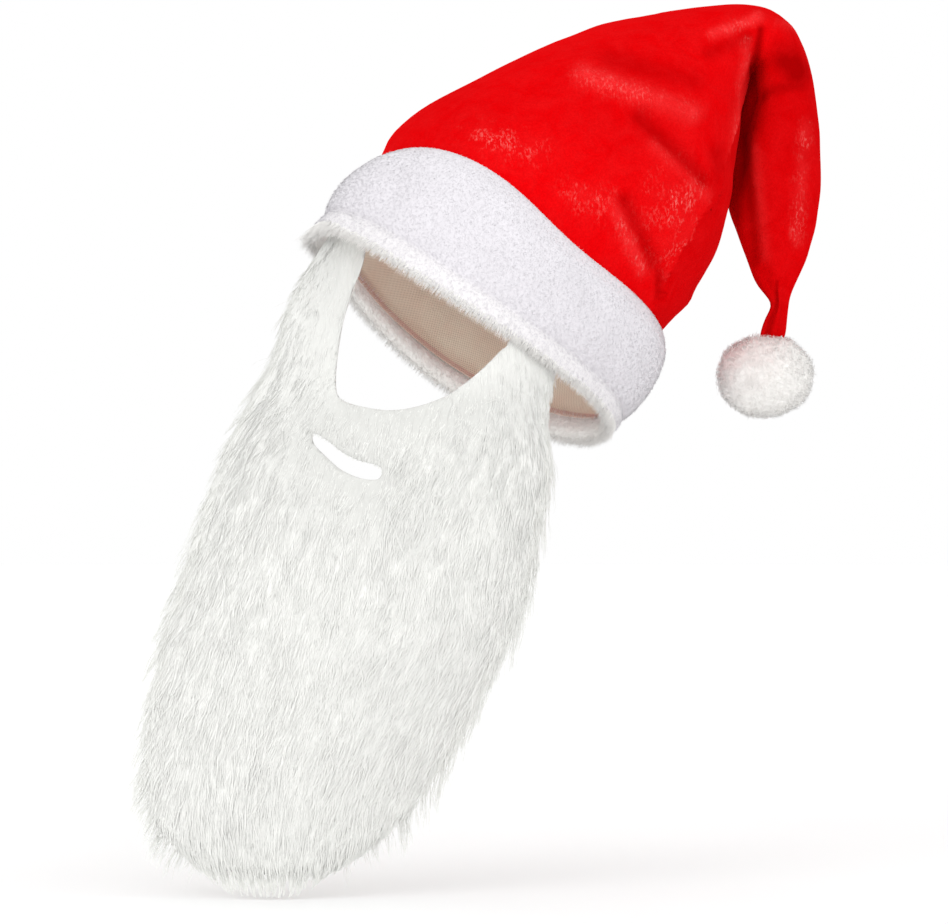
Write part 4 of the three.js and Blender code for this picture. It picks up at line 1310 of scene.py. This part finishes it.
class HAT_OT_beard(bpy.types.Operator):
    """Makes the beard's ground cloth and its long pile"""
    bl_idname = "hat.beard"
    bl_label = "Beard"

    def execute(self, context):
        s = settings()
        guides = beard_guides()
        cloth = self.ground_cloth(guides)
        pile_pieces = self.long_pile(guides)
        finish_piece(cloth, None, "beard")
        fur = pile("beard_pile", s.beard_white, s.beard_root, 0.40)
        for piece in pile_pieces:
            finish_piece(piece, fur)
        return {"FINISHED"}

    def ground_cloth(self, guides):
        """The cloth that carries the pile, with short wool on its front and the openings cut out."""
        deselect()
        bpy.ops.mesh.primitive_grid_add(x_subdivisions=CLOTH_COLUMNS, y_subdivisions=CLOTH_LINES, size=1)
        cloth = bpy.context.active_object
        cloth.name = cloth.data.name = "beard_ground_cloth"
        mesh = cloth.data
        flat = vertex_array(mesh)
        column = np.rint((flat[:, 0] + 0.5) * CLOTH_COLUMNS).astype(int)
        line = np.rint((0.5 - flat[:, 1]) * CLOTH_LINES).astype(int)
        across = np.linspace(-1, 1, CLOTH_COLUMNS + 1)[column]
        row = np.linspace(0, BEARD_LAST_ROW, CLOTH_LINES + 1)[line]
        places = np.stack((across * CLOTH_MAP["half_width"], row * CLOTH_MAP["row"]), axis=1)
        lay_map(mesh, "cloth_rows", places[whole_numbers(mesh.loops, "vertex_index")])
        move_vertices(mesh, beard_point(guides, across, row))
        outward, _, _ = beard_frame(guides, across, row)
        facing = np.array([tuple(face.normal) for face in mesh.polygons]).mean(axis=0)
        if facing @ outward.mean(axis=0) < 0:
            edit((bpy.ops.mesh.flip_normals, {}))
        apply_modifier(cloth, "SOLIDIFY", thickness=settings().beard_cloth, offset=-1.0)

        # The grid's own faces come first in the thickened cloth: they are its front
        mesh = cloth.data
        points = vertex_array(mesh)
        wool = undercoat_height(points[:len(row)], across, row)
        points[:len(row)] += outward * wool[:, None]
        front = np.arange(len(mesh.polygons)) < CLOTH_COLUMNS * CLOTH_LINES
        mesh.materials.append(knit())
        mesh.materials.append(undercoat())
        mesh.polygons.foreach_set("material_index", front.astype(np.int32))
        move_vertices(mesh, points)
        for outline in (FACE_OPENING, MOUTH_SLIT):
            cutter = self.cutter(outline)
            apply_modifier(cloth, "BOOLEAN", operation="DIFFERENCE", solver="EXACT", object=cutter)
            bpy.data.objects.remove(cutter)
        bpy.ops.object.shade_smooth()
        # Notes where painted shade falls on the short pile round the mouth
        keep_values(cloth.data, "cropped_shade", self.cropped_shade(vertex_array(cloth.data)))
        return cloth

    def cutter(self, outline):
        """A block with a rounded outline that cuts an opening from front to back."""
        line = smooth_outline(outline)
        deselect()
        bpy.ops.mesh.primitive_circle_add(vertices=len(line), radius=1, fill_type="NGON")
        block = bpy.context.active_object
        move_vertices(block.data, np.array([(x * MM, OPENING_CUT["front"], z * MM) for x, z in line]))
        everything = (bpy.ops.mesh.select_all, {"action": "SELECT"})
        back = {"value": (0, OPENING_CUT["depth"], 0)}
        edit(
            everything,
            (bpy.ops.mesh.extrude_region_move, {"TRANSFORM_OT_translate": back}),
            everything,
            (bpy.ops.mesh.normals_make_consistent, {"inside": False}))
        return block

    def cropped_shade(self, points):
        """Painted shade on the short pile round the mouth: 1 there, less on the left strap, 0 down the beard.
        """
        strap = CROPPED_SHADE["strap"] * ramp(-points[:, 0] / MM, *CROPPED_SHADE["left"])
        here = np.maximum(ramp(points[:, 2] / MM, *CROPPED_SHADE["height"]), strap)
        return ramp(gap_to_openings(points) / MM, *CROPPED_SHADE["gap"]) * here

    def long_pile(self, guides):
        """The long pile in three pieces, from the straps down: strands that follow locks."""
        s = settings()
        rng = rng_for("beard")
        count = s.beard_strands // 1
        across, row = self.roots(guides, count, rng)
        root = beard_point(guides, across, row)
        up, down, over = beard_frame(guides, across, row)
        side = np.abs(across)

        # Each lock has its own lean, length, wave and height; its strands share them
        locks = int(LOCK_AREA / s.beard_lock_spacing**2)
        lock_across, lock_row = self.roots(guides, locks, rng)
        lock_root = beard_point(guides, lock_across, lock_row)
        near = nearest(lock_root, root)
        lean = self.lock_lean(lock_root, lock_across, lock_row, rng)
        swing = rng.uniform(-1, 1, locks) * LOCK_SWING
        rise = s.beard_lift * rng.uniform(*LOCK_RISE, locks)
        stretch = rng.uniform(*LOCK_STRETCH, locks)

        own = lean[near] + np.radians(rng.normal(0, STRAND_LEAN, count))
        stray = rng.random(count) < STRAY["share"]
        own = own + stray * np.radians(rng.normal(0, STRAY["lean"], count))
        flow = self.hang(self.turned(down, over, own), across, row)
        corner = ramp(row, *CORNER_SHORTER["rows"]) * ramp(side, *CORNER_SHORTER["edge"])
        uneven = 1 + ramp(row, *LOWER_END["rows"]) * rng.uniform(*LOWER_END["uneven"], locks)[near]
        length = self.pile_length(root, row) * stretch[near] * rng.uniform(*STRAND_LONG, count)
        length = self.clear_openings(root, flow, length * (1 - CORNER_SHORTER["less"] * corner) * uneven)
        _, lock_down, lock_over = beard_frame(guides, lock_across, lock_row)
        lock_flow = self.hang(self.turned(lock_down, lock_over, lean), lock_across, lock_row)
        lock_length = self.pile_length(lock_root, lock_row) * stretch
        lock_length = self.clear_openings(lock_root, lock_flow, lock_length)

        # Strands follow the wool under them, crimped and bobbing in step with their lock
        stations = np.linspace(0, 1, STRAND_STATIONS)
        arch = np.sin(stations * math.pi * ARCH_TURN)
        crimp = self.waves(stations, STRAND_STATIONS * CRIMP_TURNS, locks, rng)
        crimp = crimp * np.minimum(stations * CRIMP_STARTS, 1)[None, :] * s.beard_crimp
        bob = self.waves(stations, BOB_TURNS, locks, rng) * s.beard_bob
        sweep = crimp + swing[:, None] * arch[None, :]
        short = np.clip(length / STRAND_FULL_LENGTH, STRAND_SHORT, 1.0)
        high = rise[near] * short * rng.uniform(*STRAND_RISE, count) * np.where(stray, STRAY["rise"], 1.0)
        own_bob = self.waves(stations, BOB_TURNS, count, rng) * s.beard_bob
        lift = high[:, None] * arch + 0.5 * (bob[near] + own_bob) * short[:, None]
        lines = self.lay_strands(guides, across, row, flow, length, lift, sweep[near] * short[:, None])
        lock_short = np.clip(lock_length / STRAND_FULL_LENGTH, STRAND_SHORT, 1.0)[:, None]
        lock_lift = (rise[:, None] * arch + bob) * lock_short
        spines = self.lay_strands(
            guides, lock_across, lock_row, lock_flow, lock_length, lock_lift, sweep * lock_short)
        pull = self.lock_hold(root, row, side, stray)[:, None] * ramp(stations, 0, 1)[None, :]
        lines = lines + (spines[near] - lines) * pull[:, :, None]
        under = np.maximum(SOLID_BOX[0][2] + LOWER_END["clear"] - lines[:, :, 2], 0)
        lines[:, :, 2] += under * LOWER_END["pressed"]

        beside = ((root - lock_root[near]) * over).sum(axis=1) / s.beard_lock_spacing
        shading = self.pile_light(up, over * np.clip(beside, -1, 1)[:, None], side, row)
        # Strand tone at random by lock and by strand, with painted shade round the mouth
        shade = PILE_SHADE["least"] + PILE_SHADE["lock"] * rng.random(locks)[near]
        shade = shade + rng.normal(0, PILE_SHADE["strand"], count)
        shade = np.clip(shade + PILE_SHADE["cropped_shade"] * self.cropped_shade(root), 0, 1)
        width = s.beard_strand_width * rng.uniform(*STRAND_WIDE, count)
        taper = np.linspace(1.0, STRAND_TIP, STRAND_STATIONS - 1)
        parts = np.array_split(np.argsort(row, kind="stable"), 3)
        return [
            strand_piece(
                f"beard_pile_{number}", lines[part], up[part], width[part], taper, shade[part], shading[part],
                roundness=PILE_ROUND)
            for number, part in enumerate(parts, start=1)]

    def roots(self, guides, count, rng):
        """Where strands leave the cloth: spread evenly, more at the lower end, none in the openings."""
        found_across, found_row = [], []
        rows = np.linspace(ROOTS["first_row"], BEARD_LAST_ROW, ROOTS["steps"])
        left, mid, right = (beard_point(guides, np.full(len(rows), a), rows) for a in (-1.0, 0.0, 1.0))
        wide = np.linalg.norm(mid - left, axis=1) + np.linalg.norm(right - mid, axis=1)
        tall = np.linalg.norm(np.gradient(mid, axis=0), axis=1)
        reach = np.cumsum(wide * tall * (1 + ROOTS["more"] * ramp(rows, *ROOTS["more_rows"])))
        total = 0
        while total < count:
            row = np.interp(rng.random(count) * reach[-1], reach, rows)
            across = rng.uniform(-1, 1, count)
            places = beard_point(guides, across, row)
            fine = ~(inside_outline(places, FACE_OPENING) | inside_outline(places, MOUTH_SLIT))
            found_across.append(across[fine])
            found_row.append(row[fine])
            total += int(fine.sum())
        return np.concatenate(found_across)[:count], np.concatenate(found_row)[:count]

    def lock_lean(self, root, across, row, rng):
        """How far each lock leans to the right over the cloth, in radians: outwards near the edges."""
        sway = np.array([noise.noise(p * LOCK_LEAN["sway_scale"]) for p in map(Vector, root)])
        left = ramp(row, *LOCK_LEAN_LEFT["rows"]) * ramp(-across, *LOCK_LEAN_LEFT["edge"])
        lean = rng.normal(0, LOCK_LEAN["spread"], len(row)) + LOCK_LEAN["sway"] * sway
        return np.radians(
            lean + LOCK_LEAN["edge"] * across ** LOCK_LEAN["edge_power"] - LOCK_LEAN_LEFT["lean"] * left)

    def lock_hold(self, root, row, side, stray):
        """How much each strand runs to its lock's tip: not at the openings, more at the lower end."""
        free = np.clip((gap_to_openings(root) - LOCK_HOLD["gap"]) / LOCK_HOLD["over"], 0.0, 1.0)
        hold = settings().beard_lock_hold * free * np.where(stray, STRAY["hold"], 1.0)
        low, corner = LOCK_HOLD_LOW, LOCK_HOLD_CORNER
        middle = 1 - low["edge_less"] * ramp(side, *low["edge"])
        hold = hold + low["more"] * ramp(row, *low["rows"]) * middle * ~stray
        return hold * (1 - corner["less"] * ramp(row, *corner["rows"]) * ramp(side, *corner["edge"]))

    def pile_light(self, up, beside, side, row):
        """How the pile takes the light: as its cloth, tilted across each lock, and less so at the edges."""
        edge = np.maximum(ramp(side, *PILE_EDGE["edge"]), ramp(row, *PILE_EDGE["rows"]))
        return unit(up + beside * PILE_TILT) * (1 - PILE_EDGE["own"] * edge)[:, None]

    def turned(self, down, over, lean):
        return unit(down * np.cos(lean)[:, None] + over * np.sin(lean)[:, None])

    def hang(self, flow, across, row):
        """Turns the pile near the beard's lower end to hang down, spreading a little at its corners."""
        side = np.abs(across)
        share = HANG["share"] * ramp(row, *HANG["rows"]) * (1 - HANG["less"] * ramp(side, *HANG["edge"]))
        hanging = np.tile(HANG["toward"], (len(row), 1))
        spread = np.where(across < 0, HANG_SPREAD["left"], HANG_SPREAD["right"])
        hanging[:, 0] += spread * across * ramp(side, *HANG_SPREAD["edge"])
        return unit(flow * (1 - share)[:, None] + unit(hanging) * share[:, None])

    def waves(self, stations, turns, count, rng):
        """Waves along strands, each with a phase of its own."""
        return np.sin(stations[None, :] * FULL_TURN * turns + rng.uniform(*ANY_PHASE, count)[:, None])

    def lay_strands(self, guides, across, row, flow, length, lift, sweep):
        """Lines of strands over the wool, lifted and swept aside; past the lower edge they hang free."""
        root = beard_point(guides, across, row)
        _, down, over = beard_frame(guides, across, row)
        _, down_step = beard_steps(guides, across, row)
        rate = np.linalg.norm(down_step, axis=1) / (2 * BEARD_STEP)
        gone = length[:, None] * np.linspace(0, 1, STRAND_STATIONS)[None, :]
        straight = root[:, None, :] + flow[:, None, :] * gone[:, :, None]
        straight = (straight + over[:, None, :] * sweep[:, :, None]).reshape(-1, 3)
        r = (row[:, None] + gone * (flow * down).sum(axis=1)[:, None] / rate[:, None]).ravel()
        a = across.repeat(STRAND_STATIONS)
        over_step, _ = beard_steps(guides, a, r)
        rate = np.linalg.norm(over_step, axis=1) / (2 * BEARD_STEP)
        aside = ((straight - beard_point(guides, a, r)) * over.repeat(STRAND_STATIONS, axis=0)).sum(axis=1)
        a = a + aside / rate
        held = 1 - ramp(np.abs(a), *FREE["edge"]) * ramp(r, *FREE["rows"])
        a = np.clip(a, -FREE["bend_limit"], FREE["bend_limit"])
        out, _, _ = beard_frame(guides, a, r)
        sink = ((beard_point(guides, a, r) - straight) * out).sum(axis=1)
        place = straight + out * (sink * held)[:, None]
        height = undercoat_height(place, a, r) + lift.ravel() - STRAND_SINK
        return (place + out * height[:, None]).reshape(len(length), STRAND_STATIONS, 3)

    def pile_length(self, root, row):
        """Length of the pile at a place: short round the openings, long down the beard."""
        length = np.interp(row, [p["row"] for p in PILE_BY_ROW], [p["length"] for p in PILE_BY_ROW]) * MM
        grown = gap_to_openings(root) / PILE_AT_OPENING["grows_over"]
        return length * np.clip(PILE_AT_OPENING["share"] + grown, 0.0, 1.0)

    def clear_openings(self, root, flow, length):
        """Shortens the strands that would hang across an opening."""
        for outline, over in PILE_OVER_OPENING:
            room = way_to_outline(root, flow, outline) + over
            length = np.where(room < length, np.maximum(room, PILE_AT_OPENING["shortest"]), length)
        return length


class HAT_OT_pompom(bpy.types.Operator):
    """Makes the pompom"""
    bl_idname = "hat.pompom"
    bl_label = "Pompom"

    def execute(self, context):
        core = self.core()
        fuzz = self.curls(core)
        white = np.array(settings().pompom_white)
        finish_piece(core, plush_core(), "pompom")
        finish_piece(fuzz, pile("pompom_pile", white, white * 0.98, 0.04))
        return {"FINISHED"}

    def core(self):
        """The dense middle, flattened and puffy."""
        deselect()
        bpy.ops.mesh.primitive_ico_sphere_add(
            subdivisions=5, radius=POMPOM_CORE * MM, location=tuple(np.array(POMPOM_MIDDLE) * MM))
        core = bpy.context.active_object
        core.name = core.data.name = "pompom_core"
        core.scale = (1.0, 1.0, POMPOM_FLATTENED)
        bpy.ops.object.transform_apply(location=True, rotation=True, scale=True)
        bpy.ops.object.shade_smooth()
        mesh = core.data
        points, away = vertex_array(mesh), normal_array(mesh)
        puffs = lumpy(points, POMPOM_PUFFS) * POMPOM_PUFFS["out"] * MM
        move_vertices(mesh, points + away * puffs[:, None])
        return core

    def curls(self, core):
        """Curled strands all over the core, apart from where the tail's neck goes in."""
        s = settings()
        rng = rng_for("pompom")
        count = s.pompom_strands // 1
        roots, away = scatter(core, count, rng)
        turn = unit(np.cross(away, rng.normal(size=(count, 3))))
        curl = turn + POMPOM_CURL["bend"] * unit(turn + POMPOM_CURL["wild"] * rng.normal(size=(count, 3)))
        length = (s.pompom_pile * rng.uniform(*POMPOM_LONG, count))[:, None]
        rise = length * rng.uniform(*POMPOM_RISE, count)[:, None]
        lines = np.stack((
            roots - away * POMPOM_CURL["root"],
            roots + turn * (length * POMPOM_CURL["half_way"]) + away * rise,
            roots + curl * (length * POMPOM_CURL["reach"]) + away * (rise * POMPOM_CURL["droop"])), axis=1)
        tips = lines[:, -1]
        from_neck = np.hypot(tips[:, 0] - POMPOM_MIDDLE[0] * MM, tips[:, 1] - POMPOM_MIDDLE[1] * MM)
        free = (tips[:, 2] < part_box("pompom")[1][2]) | (from_neck > POMPOM_NECK)
        lines, away = lines[free], away[free]
        width = rng.uniform(*POMPOM_WIDE, len(lines)) * MM
        shade = rng.random(len(lines))
        return strand_piece("pompom_pile", lines, away, width, POMPOM_TAPER, shade, away * POMPOM_SHINE)


class HAT_PT_panel(bpy.types.Panel):
    """Lists the hat's pieces and their sizes and colours"""
    bl_label = "Santa hat"
    bl_idname = "HAT_PT_panel"
    bl_space_type = "VIEW_3D"
    bl_region_type = "UI"
    bl_category = "Santa hat"

    def draw(self, context):
        for piece in PIECES:
            self.layout.operator(piece.bl_idname)
        for key in HatSettings.__annotations__:
            self.layout.prop(context.scene.hat_settings, key)


PIECES = (HAT_OT_stage, HAT_OT_crown, HAT_OT_band, HAT_OT_lining, HAT_OT_beard, HAT_OT_pompom)
CLASSES = (HatSettings, *PIECES, HAT_PT_panel)


def register():
    for made in CLASSES:
        bpy.utils.register_class(made)
    bpy.types.Scene.hat_settings = PointerProperty(type=HatSettings)


def unregister():
    del bpy.types.Scene.hat_settings
    for made in reversed(CLASSES):
        bpy.utils.unregister_class(made)


def main():
    register()
    bpy.ops.hat.stage()
    bpy.ops.hat.crown()
    bpy.ops.hat.band()
    bpy.ops.hat.lining()
    bpy.ops.hat.beard()
    bpy.ops.hat.pompom()


if __name__ == "__main__":
    main()
